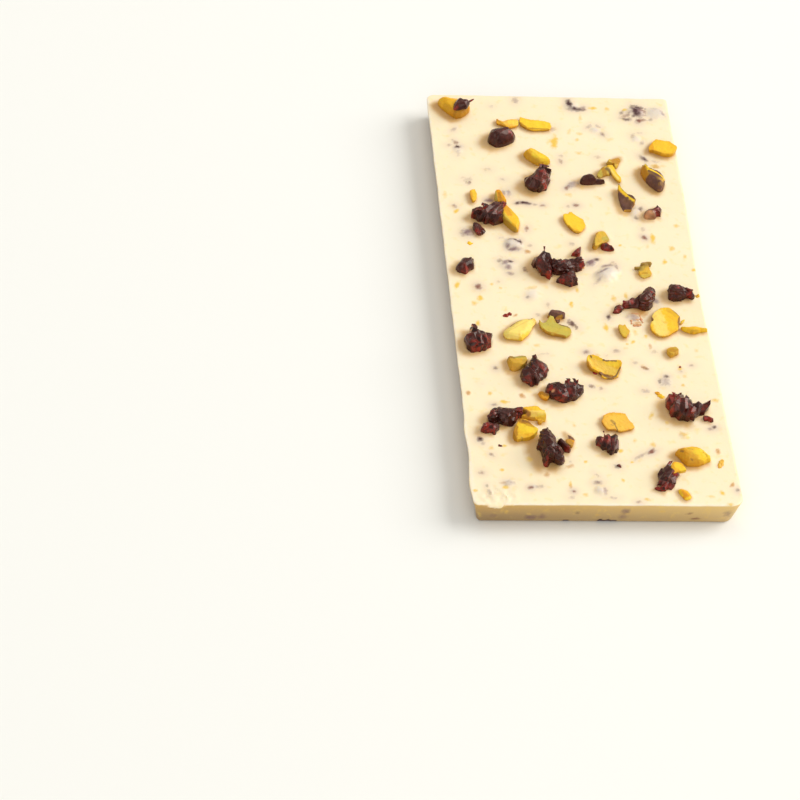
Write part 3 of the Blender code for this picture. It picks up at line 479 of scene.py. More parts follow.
def raise_outline(name, outline, base, height, steps):
    """A closed lump over an outline, left in edit mode: its sides go up, then step in to its crown.

    Each step is (share of the half breadth that it goes in, share of the height that it goes up).
    """
    foot = THICKNESS + (base if base > 0 else -SINK)
    bpy.ops.object.select_all(action="DESELECT")
    bpy.ops.mesh.primitive_circle_add(vertices=len(outline), radius=MM, fill_type="NGON",
                                      location=(0.0, 0.0, 0.0))
    piece = bpy.context.object
    piece.name = name
    write_points(piece, np.array([(x, y, foot) for x, y in outline]))
    breadth = half_breadth(outline)
    bpy.ops.object.mode_set(mode="EDIT")
    bpy.ops.mesh.select_mode(type="FACE")
    bpy.ops.mesh.select_all(action="SELECT")
    for going_in, going_up in steps:
        rise = going_up * height + (THICKNESS - foot if going_in == 0 and base == 0 else 0)
        if going_in == 0:
            bpy.ops.mesh.extrude_region_move(TRANSFORM_OT_translate={"value": (0.0, 0.0, rise * MM)})
        else:
            bpy.ops.mesh.inset(thickness=going_in * breadth * MM, depth=rise * MM, use_even_offset=False)
    return piece


def soften(piece, rounds):
    """Take the sharpness off a piece's edges, a little more in each round."""
    smooth = piece.modifiers.new("soft edges", "SMOOTH")
    smooth.factor = 0.5
    smooth.iterations = rounds
    bpy.ops.object.modifier_apply(modifier=smooth.name)


def join_to(piece):
    """Make the part that was just raised one object with its piece."""
    bpy.ops.object.mode_set(mode="OBJECT")
    piece.select_set(True)
    bpy.context.view_layer.objects.active = piece
    bpy.ops.object.join()


def fuse(piece, rounds):
    """Fuse all that is in a piece into one skin, and soften its edges."""
    remesh = piece.modifiers.new("one skin", "REMESH")
    remesh.mode = "VOXEL"
    remesh.voxel_size = FUSED_MESH * MM
    bpy.ops.object.modifier_apply(modifier=remesh.name)
    soften(piece, rounds)
    bpy.ops.object.shade_smooth()


def read_normals(piece):
    """The way that the skin faces at each vertex."""
    return np.array([v.normal[:] for v in piece.data.vertices])


def push_out(piece, amounts):
    """Move every vertex along its normal by an amount in millimetres."""
    write_points(piece, read_points(piece) + read_normals(piece) * amounts[:, None])


def bring_down(piece, top):
    """Lower a piece that stands higher above the face than it should, without moving its foot."""
    points = read_points(piece)
    above = points[:, 2] > THICKNESS
    share = min(1.0, top / (points[:, 2].max() - THICKNESS))
    points[above, 2] = THICKNESS + (points[above, 2] - THICKNESS) * share
    write_points(piece, points)


def store(piece, name, values):
    """Keep one value per vertex, for the material to read."""
    attribute = piece.data.attributes.new(name, "FLOAT", "POINT")
    attribute.data.foreach_set("value", np.clip(values, 0, 1).astype(np.float32))


def spots(points, places):
    """Round soft places: 1 well inside one of them, 0 outside."""
    total = np.zeros(len(points))
    for x0, y0, radius in places:
        away = np.hypot(points[:, 0] - x0, points[:, 1] - y0) / radius
        total = np.maximum(total, np.clip(1.5 - away, 0, 1))
    return total


def creases(points, cell, seed):
    """Rounded lumps parted by sharp creases, from 0 in a crease to 1 on a lump."""
    shift = Vector((seed, 1.7 * seed, -0.6 * seed))
    near = [noise.voronoi(Vector(p) / cell + shift)[0] for p in points]
    return np.array([min(1.6 * (d[1] - d[0]), 1.0) ** 0.5 for d in near])


def saw(place):
    """A run of equal slopes, each from -0.5 to 0.5 over a length of 1."""
    return place - np.floor(place + 0.5)


def crumple(points, spacing, seed):
    """The relief of flat facets that meet in sharp ridges, from -1 to 1."""
    rng = np.random.default_rng(seed)
    relief = np.zeros(len(points))
    for _ in range(4):
        way = rng.normal(size=3)
        side = saw(points @ way / np.linalg.norm(way) / (spacing * rng.uniform(0.7, 1.4)) + rng.random())
        relief += (4 * np.abs(side) - 1) / 2.5
    return relief


def draw_tight(piece, planes):
    """Turn a lump's skin into flat planes that meet in sharp edges, on a close mesh again."""
    tight = piece.modifiers.new("skin drawn tight", "DECIMATE")
    tight.ratio = 0.5 * planes / len(piece.data.polygons)
    bpy.ops.object.modifier_apply(modifier=tight.name)
    close = piece.modifiers.new("close mesh", "SUBSURF")
    close.subdivision_type = "SIMPLE"
    close.levels = 3
    bpy.ops.object.modifier_apply(modifier=close.name)


def wrinkles(points, way, turn, seed):
    """How far the dried skin stands out or falls in at each point, in millimetres."""
    c, s = cos(radians(turn)), sin(radians(turn))
    warp = np.stack([noise_at(points, 3.0, seed + k) for k in (11, 23, 37)], axis=1)
    warped = points + 0.5 * warp
    across = warped[:, 1] * c - warped[:, 0] * s + 0.2 * warped[:, 2]
    plane, facet, broad, (fold, fold_spacing), (nodule, nodule_size) = DRYING[way][2:]
    relief = nodule * (creases(warped, nodule_size, seed) - 0.6) if nodule else 0.0
    relief = relief + plane * crumple(warped, PLUMP_PLANE_SPACING if way == "smooth" else PLANE_SPACING, seed)
    relief = relief + facet * crumple(warped, FACET_SPACING, seed + 1)
    if fold:
        relief = relief + fold * (4 * np.abs(saw(across / fold_spacing)) - 1)
    return relief + broad * noise_at(points, 3.2, seed + 5)


# dried cranberry: sugar-infused fruit skin, dark and glossy, whose thin torn edges glow red
dried_berry = new_material("dried cranberry skin")
place = add_node(dried_berry, "ShaderNodeTexCoord").outputs["Object"]
BERRY_LOOKS = ("torn", "ridge", "amber")
torn, ridge, amber = (add_node(dried_berry, "ShaderNodeAttribute", {"attribute_name": name}).outputs["Fac"]
                      for name in BERRY_LOOKS)
# blotches of sugar and juice 2 mm across, and the skin's finest wrinkles, drawn as coarse as they show
blotch = add_node(dried_berry, "ShaderNodeTexNoise", {"Scale": noise_scale(2.222), "Detail": 4.0},
                  {"Vector": place})
fine = add_node(dried_berry, "ShaderNodeTexNoise", {"Scale": noise_scale(0.3846), "Detail": 3.0},
                {"Vector": place})
deep = add_node(dried_berry, "ShaderNodeMixRGB", {1: linear("1c0908"), 2: linear("3e1612")},
                {0: blotch.outputs["Fac"]})
raised = add_node(dried_berry, "ShaderNodeMixRGB", {2: linear("5e281e")}, {0: ridge, 1: deep.outputs[0]})
glow = add_node(dried_berry, "ShaderNodeMixRGB", {2: linear("982a1e")}, {0: torn, 1: raised.outputs[0]})
jelly = add_node(dried_berry, "ShaderNodeMixRGB", {2: linear("d89c6e")}, {0: amber, 1: glow.outputs[0]})
skin_bump = add_node(dried_berry, "ShaderNodeBump", {"Strength": 0.35, "Distance": 0.06 * MM},
                     {"Height": fine.outputs["Fac"]})
sheen = add_node(dried_berry, "ShaderNodeMapRange", {"To Min": 0.18, "To Max": 0.36},
                 {"Value": blotch.outputs["Fac"]})
dress_shader(dried_berry, {"Subsurface Weight": 0.2, "Subsurface Radius": (1.0, 0.12, 0.07),
                           "Subsurface Scale": 1.0 * MM, "IOR": 1.48, "Coat Weight": 0.14,
                           "Coat Roughness": 0.12, "Specular IOR Level": 0.34,
                           "Specular Tint": (1.0, 0.86, 0.74, 1.0)},
             {"Base Color": jelly.outputs[0], "Normal": skin_bump.outputs[0], "Roughness": sheen.outputs[0]})

# how plump a berry is: steps from its foot up to its crown, for raise_outline
BERRY_STEPS = {
    "smooth": ((0, 0.30), (0.12, 0.28), (0.22, 0.24), (0.30, 0.14), (0.2, 0.04)),
    "torn": ((0, 0.40), (0.10, 0.26), (0.26, 0.20), (0.30, 0.12)),
}
outlines = {}
for number, (name, (base, height, way, turn, flat)) in enumerate(BERRIES.items()):
    outline = pairs(flat)
    outlines[name] = (base, height, outline)
    steps = BERRY_STEPS["smooth" if way == "smooth" else "torn"]
    piece = raise_outline("berry_" + name[-2:], outline, base, height, steps)
    for x0, y0, z0, x1, y1, z1, radius in BERRY_TIPS.get(name, ()):
        foot = Vector((x0, y0, z0 + THICKNESS))
        tip = Vector((x1, y1, z1 + THICKNESS))
        run = tip - foot
        bpy.ops.mesh.primitive_cone_add(vertices=10, radius1=radius * MM, radius2=0.3 * radius * MM,
                                        depth=1.6 * run.length * MM, location=(foot + 0.4 * run) * MM,
                                        rotation=run.to_track_quat("Z", "Y").to_euler())
    bpy.ops.object.mode_set(mode="OBJECT")
    for part, (bit_height, bit_flat) in enumerate(BERRY_BITS.get(name, ())):
        outlines["%s part %d" % (name, part)] = (0.0, bit_height, pairs(bit_flat))
        raise_outline("bit", pairs(bit_flat), 0.0, bit_height, steps)
        join_to(piece)
    fuse(piece, 6 if way == "smooth" else 1)
    push_out(piece, wrinkles(read_points(piece), way, turn, 31 * number))
    planes, grain = DRYING[way][:2]
    draw_tight(piece, planes)
    if way == "smooth":
        soften(piece, PLUMP_ROUNDS)
    # the ridges of a dried skin are paler, by which way they face
    tone = noise_at(read_normals(piece), 0.55, number) * (0.5 if way == "smooth" else 1.0)
    points = read_points(piece)
    push_out(piece, grain * (noise_at(points, 0.5, number + 3) + 0.6 * noise_at(points, 0.22, number + 7)))
    bring_down(piece, base + height + 0.1)
    bpy.ops.object.shade_smooth()
    # patches of clear flesh, veins in it, and red places whose edges wander
    patches = noise_at(points, 1.6, 40 + number)
    veins = noise_at(points, 0.8, 80 + number)
    warped = points + 0.6 * np.stack([noise_at(points, 0.9, number + k) for k in (20, 21, 22)], axis=1)
    red = spots(warped, BERRY_RED.get(name, ()))
    store(piece, "torn", 0.9 * red * np.clip(0.5 + 1.2 * tone + 0.7 * veins, 0, 1)
          + np.clip(1.4 * tone + 0.6 * veins - 0.6, 0, 0.3))
    store(piece, "amber", spots(points, BERRY_AMBER.get(name, ())) * (0.8 + 0.6 * patches))
    store(piece, "ridge", 0.35 + 0.9 * tone + 0.2 * veins)
    piece.data.materials.append(dried_berry)
    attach(piece, "root")
    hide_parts(name)


# Pistachio kernels, chopped into halves, slices and blocks: dull yellow to green nut flesh with flat
# broken faces, and here and there a bit of the thin brown-violet skin that each kernel grows in.

# nut: (height that it lies at, its own height, form, how gold, how green, share of skin left on, outline)
NUTS = {
    "pistachio_01": (0, 3.4, "kernel", 0.75, 0, 0, (
        -32.3, 76.3, -30.7, 74.1, -29.4, 72.6, -28.1, 71.3, -26.3, 71.7, -24.9, 72.8, -23.8, 74.3, -23.5,
        75.2, -23.6, 76.7, -25.4, 78, -27.4, 78.4, -29.2, 78.7, -30.6, 79.3, -32.1, 78.9, -32.9, 78)),
    "pistachio_02": (0, 1.1, "plate", 0.6, 0, 0, (
        -16.2, 70.1, -16.3, 69.1, -15.5, 68.7, -14.4, 68.1, -13.3, 67.5, -12.1, 67.3, -10.6, 67.8, -9.8,
        68.5, -9.7, 70.3, -10.3, 70.7, -11.5, 70.8, -13, 70.4, -14.3, 69.8, -15.4, 70.3, -16.1, 70.9)),
    "pistachio_03": (0, 1.3, "plate", 0.05, 0, 0, (
        -9.5, 69.9, -9.2, 68.7, -8.3, 67.7, -7.2, 66.8, -5.7, 66.3, -3.6, 66.4, -1.9, 66.5, -0.7, 66.8,
        -0.1, 68, -0.3, 69.4, -1.8, 70.1, -3.9, 70.4, -6.2, 70.6, -8, 71.2, -9.1, 71.7)),
    "pistachio_04": (0, 2.7, "kernel", 0.45, 0.1, 0, (
        -9.1, 54.3, -8.2, 53.3, -7.1, 52.2, -5.7, 51.2, -4.2, 51.4, -2.7, 51.9, -2, 52.5, -2.3, 53.4, -3.4,
        54.6, -4.7, 55.7, -6.1, 57, -7.5, 57.6, -8.7, 56.9, -9.6, 55.8)),
    "pistachio_05": (0, 1.9, "plate", 0.35, 0, 0, (
        27.5, 59, 27.5, 57.9, 28.7, 57.7, 30.1, 56.8, 31.8, 56, 33.5, 55.9, 34.5, 56.5, 35.5, 57.7, 35.9,
        58.7, 35.7, 59.4, 34.7, 60.4, 34, 61.3, 33, 61.6, 31.2, 62.1, 30.1, 62.5, 29.1, 61.5, 28.4, 60.6)),
    "pistachio_06": (0, 1.9, "block", 0.7, 0.5, 0, (
        14.6, 52, 15.6, 51.8, 16.5, 52, 16.6, 50.8, 17.2, 50.3, 17.7, 51.5, 18.6, 53.3, 19.5, 55, 19.4,
        55.8, 18.4, 55.5, 17.1, 54.5, 15.8, 53.4, 14.7, 53.2, 14.2, 52.6)),
    "pistachio_07": (0, 1.4, "plate", 0.05, 0.1, 0, (
        14.8, 49.4, 15.2, 47.9, 15.5, 46.8, 16, 45.8, 16.6, 44.8, 17.6, 44.1, 17.9, 44.7, 17.9, 46, 17.2,
        47.2, 16.7, 48.4, 16.4, 49.7, 15.9, 50.9, 14.9, 51, 14.2, 50.7)),
    "pistachio_08": (0, 1.7, "block", 0.8, 0.6, 0, (
        11, 47.4, 11.2, 46.4, 11.9, 46.1, 12.8, 46.7, 14, 47.3, 15.1, 47.3, 15.3, 48, 15, 48.8, 14.5, 49.6,
        13.8, 50.1, 12.8, 49.8, 11.8, 49.2, 11.3, 48.4)),
    "pistachio_09": (0, 3.2, "kernel", 0.6, 0, 1, (
        23.9, 49, 24.1, 47.4, 24.5, 46.1, 25.1, 44.8, 26, 43.1, 26.9, 42, 27.9, 40.9, 28.9, 40.6, 29.8,
        41.5, 30.3, 42.8, 30.7, 44.4, 30.4, 45.9, 29.8, 47.2, 29, 48.1, 27.9, 48.7, 26.9, 49.2, 26.3, 50,
        26, 51.1, 25.4, 51.4, 24.9, 50.8, 24.4, 50.5)),
    "pistachio_10": (0, 2.4, "block", 0.6, 0, 1, (
        16.3, 39.6, 16.3, 37.4, 16.4, 35.5, 16.7, 33.7, 17.1, 32.2, 18.1, 31.9, 19.3, 31.9, 19.5, 32.7,
        19.7, 33.8, 20.5, 34.5, 20.8, 35.4, 20.4, 36.5, 19.8, 37.1, 18.8, 37.7, 17.9, 38.9, 17.3, 40.1,
        16.8, 41.4, 16.4, 41.6)),
    "pistachio_11": (0, 1.5, "plate", 0.1, 0.1, 0, (
        -26.7, 36.8, -26.5, 35.4, -26, 34.8, -25.4, 35.2, -25, 36.1, -24.8, 37.6, -25, 38.5, -25.2, 39.4,
        -26.1, 39.4, -26.8, 38.8)),
    "pistachio_12": (0, 2.2, "block", 0.7, 0.1, 0, (
        -19.8, 36.6, -19.6, 34.5, -18.7, 34, -17.5, 33.9, -16.6, 34.4, -17, 35.4, -17.5, 37, -17.8, 38.3,
        -18.2, 38.9, -19.1, 39, -19.5, 38.6)),
    "pistachio_13": (0, 2.2, "kernel", 0.5, 0.1, 0, (
        -18.1, 31.5, -18.6, 29.1, -18.6, 27.6, -18, 26.2, -17.2, 24.9, -16.2, 23.6, -15, 22.6, -14.2, 22.8,
        -13.8, 24.2, -13.4, 26.1, -13.5, 27.9, -14.2, 29.6, -15.2, 31.5, -16.2, 33.1, -17.1, 34.4, -17.6,
        33.6)),
    "pistachio_14": (0, 1.5, "plate", 0.1, 0, 0, (
        -0.8, 27.9, -0.5, 26.8, 0.1, 25.3, 0.7, 24.3, 1.5, 23.2, 2.4, 22.5, 3.3, 22.5, 4.1, 23.2, 4.9,
        24.2, 5.4, 25.4, 5.1, 26.5, 4.9, 27.5, 4, 28.2, 3.2, 28.8, 2.4, 29.5, 1.9, 30.3, 1.1, 30.4, 0.7,
        29.7, -0.2, 29.8, -0.8, 29.3)),
    "pistachio_15": (0, 1.9, "block", 0.75, 0.5, 0, (
        7.3, 20.1, 6.6, 18.5, 6.2, 17.1, 6.5, 16.1, 7.5, 16, 8.1, 16.8, 8.8, 17.6, 9.6, 18, 10.6, 18.8,
        11.6, 19.7, 11.8, 20.6, 11.3, 21.5, 11, 22.7, 10.5, 23.5, 9.5, 23.4, 8.6, 22.8, 7.9, 21.9)),
    "pistachio_16": (0, 1.6, "block", 0.8, 0.35, 0, (
        18.5, 7, 18.3, 6.2, 18.5, 5.3, 18.9, 4.7, 19.8, 4.2, 20.3, 4.4, 21.5, 5.1, 22.1, 5.8, 22.1, 6.6,
        21.7, 7.3, 21.5, 8.1, 21.3, 8.9, 20.4, 8.8, 19.1, 8.2)),
    "pistachio_17": (0, 1.5, "plate", 0.55, 0.45, 0, (
        9.9, -16.4, 10.1, -17.2, 10.2, -18, 10.5, -18.8, 10.8, -19.5, 11.2, -19.8, 12, -19.9, 12.2, -19.1,
        12.7, -18.6, 13, -17.7, 12.5, -16.9, 12.2, -16.2, 11.9, -15.4, 11.2, -15.7, 10.4, -15.5, 9.9,
        -15.7)),
    "pistachio_18": (0, 1.6, "plate", 0.38, 0, 0, (
        19.7, -12.8, 20.2, -13.3, 19.3, -14.2, 18.9, -15.7, 19.1, -17.2, 19.9, -18.3, 21, -19.2, 22.3,
        -19.5, 23.5, -19.2, 24.4, -18.6, 25.5, -17.6, 26.6, -16.9, 27.1, -15.6, 27, -14.4, 27.7, -12.9,
        27.7, -12, 27, -10.8, 26, -9.6, 25.1, -8.7, 23.9, -8.6, 22.7, -8.8, 21.5, -9.7, 20.4, -10.8, 19.6,
        -12.3)),
    "pistachio_19": (0, 1.7, "kernel", 0.4, 0, 0, (
        27.8, -16.5, 28.6, -17.1, 29.7, -17.6, 30.8, -18, 31.9, -17.8, 33, -17.2, 34, -17.1, 35, -16.8,
        34.9, -16.2, 33.8, -16.2, 32.7, -15.8, 31.6, -15.5, 30.4, -15.6, 29.6, -15.9, 28.4, -15.8, 27.4,
        -15.5)),
    "pistachio_20": (0, 1.6, "block", 0.7, 0.5, 0, (
        22.4, -25.9, 22.8, -26.7, 23.3, -27.3, 23.8, -27.1, 24.3, -26.7, 25.3, -26.2, 25.8, -25.7, 25.7,
        -24.9, 25.5, -24, 25.1, -23.5, 23.6, -23.6, 22.9, -24.1, 22.4, -24.8)),
    "pistachio_21": (0, 2, "flat kernel", 0.1, 0.1, 0, (
        -22.2, -20.4, -21.5, -21, -20.1, -21.2, -18.5, -21.4, -17.4, -21.5, -16.2, -20.3, -15.1, -18.9,
        -14.4, -17.5, -14, -16.3, -13.4, -15.6, -12.8, -14.7, -12.7, -14, -13.2, -13, -13.9, -12.9, -14.5,
        -13.3, -15.6, -13.2, -17, -13.6, -18.4, -14.4, -19.4, -15.3, -20.3, -16.2, -21.4, -17.3, -22.1,
        -18.1, -22.5, -19.2)),
    "pistachio_22": (0, 1.8, "plate", 0.1, 0.85, 0, (
        -12.1, -15.4, -11.9, -16.3, -11.4, -17.4, -10.8, -18.2, -10, -18.8, -8.9, -19.4, -7.8, -19.5, -6.8,
        -19.7, -5.8, -20, -5.1, -20.3, -4.4, -19.8, -3.8, -19.2, -3.4, -18.5, -3.4, -17.8, -3.7, -17, -4.2,
        -16.5, -5, -16.3, -5.8, -16, -6.7, -15.7, -7.3, -15.3, -7.7, -14.4, -7.8, -13.5, -8, -12.8, -8.5,
        -12.8, -8.8, -12.5, -9.4, -13.4, -9.7, -14.3, -10.4, -15.1, -11.1, -15.4, -11.6, -14.7, -12,
        -14.1)),
    "pistachio_23": (0, 2.2, "block", 0.6, 0, 1, (
        -9.5, -12.1, -9, -12.3, -8.1, -12.1, -7.3, -12.3, -6.8, -12.7, -5.4, -12.6, -4.5, -12.3, -4.4,
        -11.2, -4.6, -10.7, -5.5, -10.1, -6.6, -9.9, -8, -10, -8.9, -10.6, -9.4, -11.3)),
    "pistachio_24": (0, 2.4, "block", 0.95, 0.35, 0, (
        -22.2, -30.2, -22.1, -31.4, -21.9, -32.4, -21.3, -33.2, -20.5, -33.4, -19.3, -32.9, -18.5, -32.1,
        -17.7, -31.5, -17.3, -30.7, -16.7, -29.9, -16.9, -29.3, -16.9, -28.6, -17.1, -28.1, -18.2, -28,
        -19.3, -28.3, -20.4, -28.6, -21.5, -28.3, -22.4, -29.1)),
    "pistachio_25": (0, 2.9, "dish", 0.3, 0.05, 0, (
        -0.5, -30.8, -0.1, -32, 0.4, -32.9, 1.5, -33.3, 2.5, -33.9, 3.2, -34.8, 4.1, -35.5, 5.4, -36, 6.6,
        -35.6, 7.6, -35, 8, -34.6, 8.4, -33.4, 8.9, -32, 9.1, -31.2, 8.6, -30.6, 7.5, -30.5, 5.8, -30.6,
        4.5, -30.5, 3.8, -30.1, 3.1, -29.7, 2.3, -29.4, 1.3, -29, 0.7, -29.1, -0.1, -29, -0.6, -29.8)),
    "pistachio_26": (0, 1.6, "block", 1, 0.1, 0, (
        -14.7, -42.7, -14.4, -43.5, -13.7, -44.1, -12.9, -44.4, -12.3, -43.8, -12.1, -42.9, -12.4, -42.1,
        -13.2, -41.8, -14.2, -41.7, -15.2, -41.6)),
    "pistachio_27": (0, 2.3, "block", 0.3, 0.1, 0, (
        -19.9, -49.2, -19.4, -49.7, -18.9, -50.3, -19.5, -50.7, -20.6, -50.9, -20.5, -51.5, -19.5, -51.5,
        -18.4, -51.7, -17.1, -52, -15.7, -51.8, -15.6, -52.1, -15.1, -52.1, -14.1, -52.4, -13.7, -51.8,
        -13.9, -50.5, -14.1, -49.4, -15, -49.1, -15.5, -48.2, -16, -47.7, -17.6, -47.9, -19, -48.1, -20,
        -48.7)),
    "pistachio_28": (0, 2.3, "block", 0.35, 0.1, 0, (
        -22.3, -54.7, -22.8, -55.6, -23.3, -57, -23.5, -58.4, -23.1, -59.5, -22.3, -60, -21.4, -59.7,
        -20.3, -59.5, -18.9, -59.2, -17.8, -58.5, -17.1, -57.6, -16.6, -56.8, -16.9, -56, -17.4, -55.2,
        -17.6, -54.3, -18.2, -53.5, -19.2, -53.2, -21, -52.9, -21.4, -53.6, -21.9, -54)),
    "pistachio_29": (0, 1.4, "plate", 1, 0, 0.4, (
        -9.3, -61, -8.4, -62.1, -7.7, -62.1, -7.3, -60.9, -6.9, -59.7, -6.9, -58.5, -7.6, -57.1, -8.8,
        -56.1, -8.7, -56.8, -8.1, -59, -8.9, -59, -9.4, -59.8)),
    "pistachio_30": (0, 1.5, "plate", 0.7, 0, 0, (
        1.6, -53.9, 2.1, -54.9, 2.6, -55.6, 3.4, -55.5, 4.5, -55.5, 5.2, -56, 5.9, -56.2, 6.9, -56, 8,
        -55.6, 9.3, -55.3, 9.9, -54.6, 9.6, -53.5, 9, -52.8, 8.5, -51.9, 8.2, -50.9, 7.9, -50.1, 6.7,
        -49.8, 5.6, -49.8, 4.8, -49.6, 3.7, -49.7, 2.6, -50.1, 1.8, -50.8, 1.6, -51.7, 1.1, -52.5)),
    "pistachio_31": (0, 2.8, "kernel", 0.5, 0.1, 0, (
        20.2, -64.9, 20.8, -65.7, 21.2, -66.8, 21.8, -67.8, 22.5, -68.5, 24.1, -68.6, 25.8, -68.5, 27.1,
        -67.9, 28.1, -67.2, 29.1, -66.8, 29.2, -65.6, 28.4, -64.7, 27.7, -63.6, 26.9, -62.8, 25.6, -62.3,
        24, -62.1, 22.9, -62.4, 21.5, -62.7, 20.4, -63.2, 19.7, -64.2)),
    "pistachio_32": (0.9, 1.7, "plate", 0.7, 0.1, 0, (
        17.2, -71.8, 16.7, -72.5, 17.4, -72.8, 18.5, -72.6, 19.5, -72.2, 20.4, -72, 21.7, -71.7, 21.4,
        -70.7, 20.7, -69.5, 19.7, -69.1, 18.7, -68.9, 18.2, -69.2, 17.7, -70, 17.6, -71)),
    "pistachio_33": (0, 1, "kernel", 0.6, 0, 0, (
        19.1, -78.4, 19.6, -79.4, 20.2, -80.6, 20.9, -81, 21.9, -80.5, 22.4, -79.7, 22, -78.5, 21.6, -77.7,
        20.6, -77.1, 19.5, -76.9, 18.9, -77.4)),
}
# form: (steps from its foot to its crown, rounds of softening, unevenness in mm, undercut in mm)
NUT_FORMS = {
    "kernel": (((0, 0.30), (0.10, 0.34), (0.22, 0.24), (0.32, 0.12)), 5, 0.05, 0.1),
    "flat kernel": (((0, 0.50), (0.08, 0.28), (0.16, 0.16), (0.26, 0.06)), 4, 0.05, 0.2),
    "plate": (((0, 1.15),), 1, 0.05, 0.25),
    "dish": (((0, 1.15),), 2, 0.06, 0.2),
    "block": (((0, 1.15),), 1, 0.08, 0.08),
}
# nut: (height, outline) of each further part of it, and the steps that all of these rise in
LAYER_STEPS = ((0, 0.8), (0.3, 0.2))
NUT_LAYERS = {
    "pistachio_16": (
        (2, (19.2, 8.8, 20.5, 8.8, 21.2, 9.2, 21.9, 9.2, 22.4, 9.6, 22.1, 9.9, 21.4, 10, 20.2, 9.9, 19.5,
        9.8, 19.1, 9.3)),
        (1.2, (17.3, 8, 17.9, 7.9, 19.1, 7.9, 19.4, 8.4, 19, 8.8, 17.9, 8.7, 17.3, 8.6)),
    ),
    "pistachio_18": (
        (1, (28.1, -14.3, 29, -13.1, 29, -12.5, 28, -13.1, 27.4, -14.3)),
    ),
    "pistachio_23": (
        (0.8, (-7, -14.1, -6.3, -13.9, -5.9, -13.3, -5.7, -12.6, -7.3, -12.5)),
    ),
    "pistachio_25": (
        (0.7, (3.8, -35.8, 6, -36, 8, -35.1, 7.8, -34.7, 6, -35.5, 4.4, -35.3, 2.8, -34.9)),
    ),
    "pistachio_27": (
        (0.9, (-16.2, -52.8, -15.8, -53.4, -15.2, -53.2, -14.7, -52.3, -16.2, -52)),
    ),
}
# nut: (way that its broken top slopes down to, slope, then the way that each broken side faces and its
# steepness), all in degrees
NUT_CUTS = {
    "pistachio_02": (270, 4, ()),
    "pistachio_03": (270, 6, ()),
    "pistachio_04": (40, 4, ((215, 66),)),
    "pistachio_05": (190, 4, ()),
    "pistachio_06": (15, 20, ((160, 66), (300, 48),)),
    "pistachio_07": (250, 5, ()),
    "pistachio_08": (240, 14, ((150, 66), (300, 48),)),
    "pistachio_10": (220, 22, ()),
    "pistachio_11": (280, 5, ()),
    "pistachio_12": (190, 12, ((190, 66),)),
    "pistachio_13": (40, 12, ((215, 66),)),
    "pistachio_14": (270, 6, ()),
    "pistachio_15": (20, 14, ((170, 66),)),
    "pistachio_16": (270, 14, ((200, 66),)),
    "pistachio_17": (270, 8, ()),
    "pistachio_18": (270, 3.5, ()),
    "pistachio_20": (100, 12, ((215, 66), (330, 66),)),
    "pistachio_22": (270, 5, ()),
    "pistachio_23": (60, 16, ((250, 48), (160, 66), (330, 66),)),
    "pistachio_24": (75, 12, ((262, 48), (190, 66),)),
    "pistachio_25": (265, 22, ()),
    "pistachio_26": (220, 16, ((60, 66), (200, 66),)),
    "pistachio_27": (80, 7, ((265, 48),)),
    "pistachio_28": (225, 8, ((40, 66), (190, 66),)),
    "pistachio_29": (70, 14, ()),
    "pistachio_30": (270, 5, ()),
    "pistachio_32": (250, 7, ()),
}
# depth of a dished face, the share of a slope's full drop that its top loses, and how high up a side
# its cut goes through
DISH_DEPTH, TOP_DROP, SIDE_CUT_HEIGHT = 0.55, 0.85, 0.12
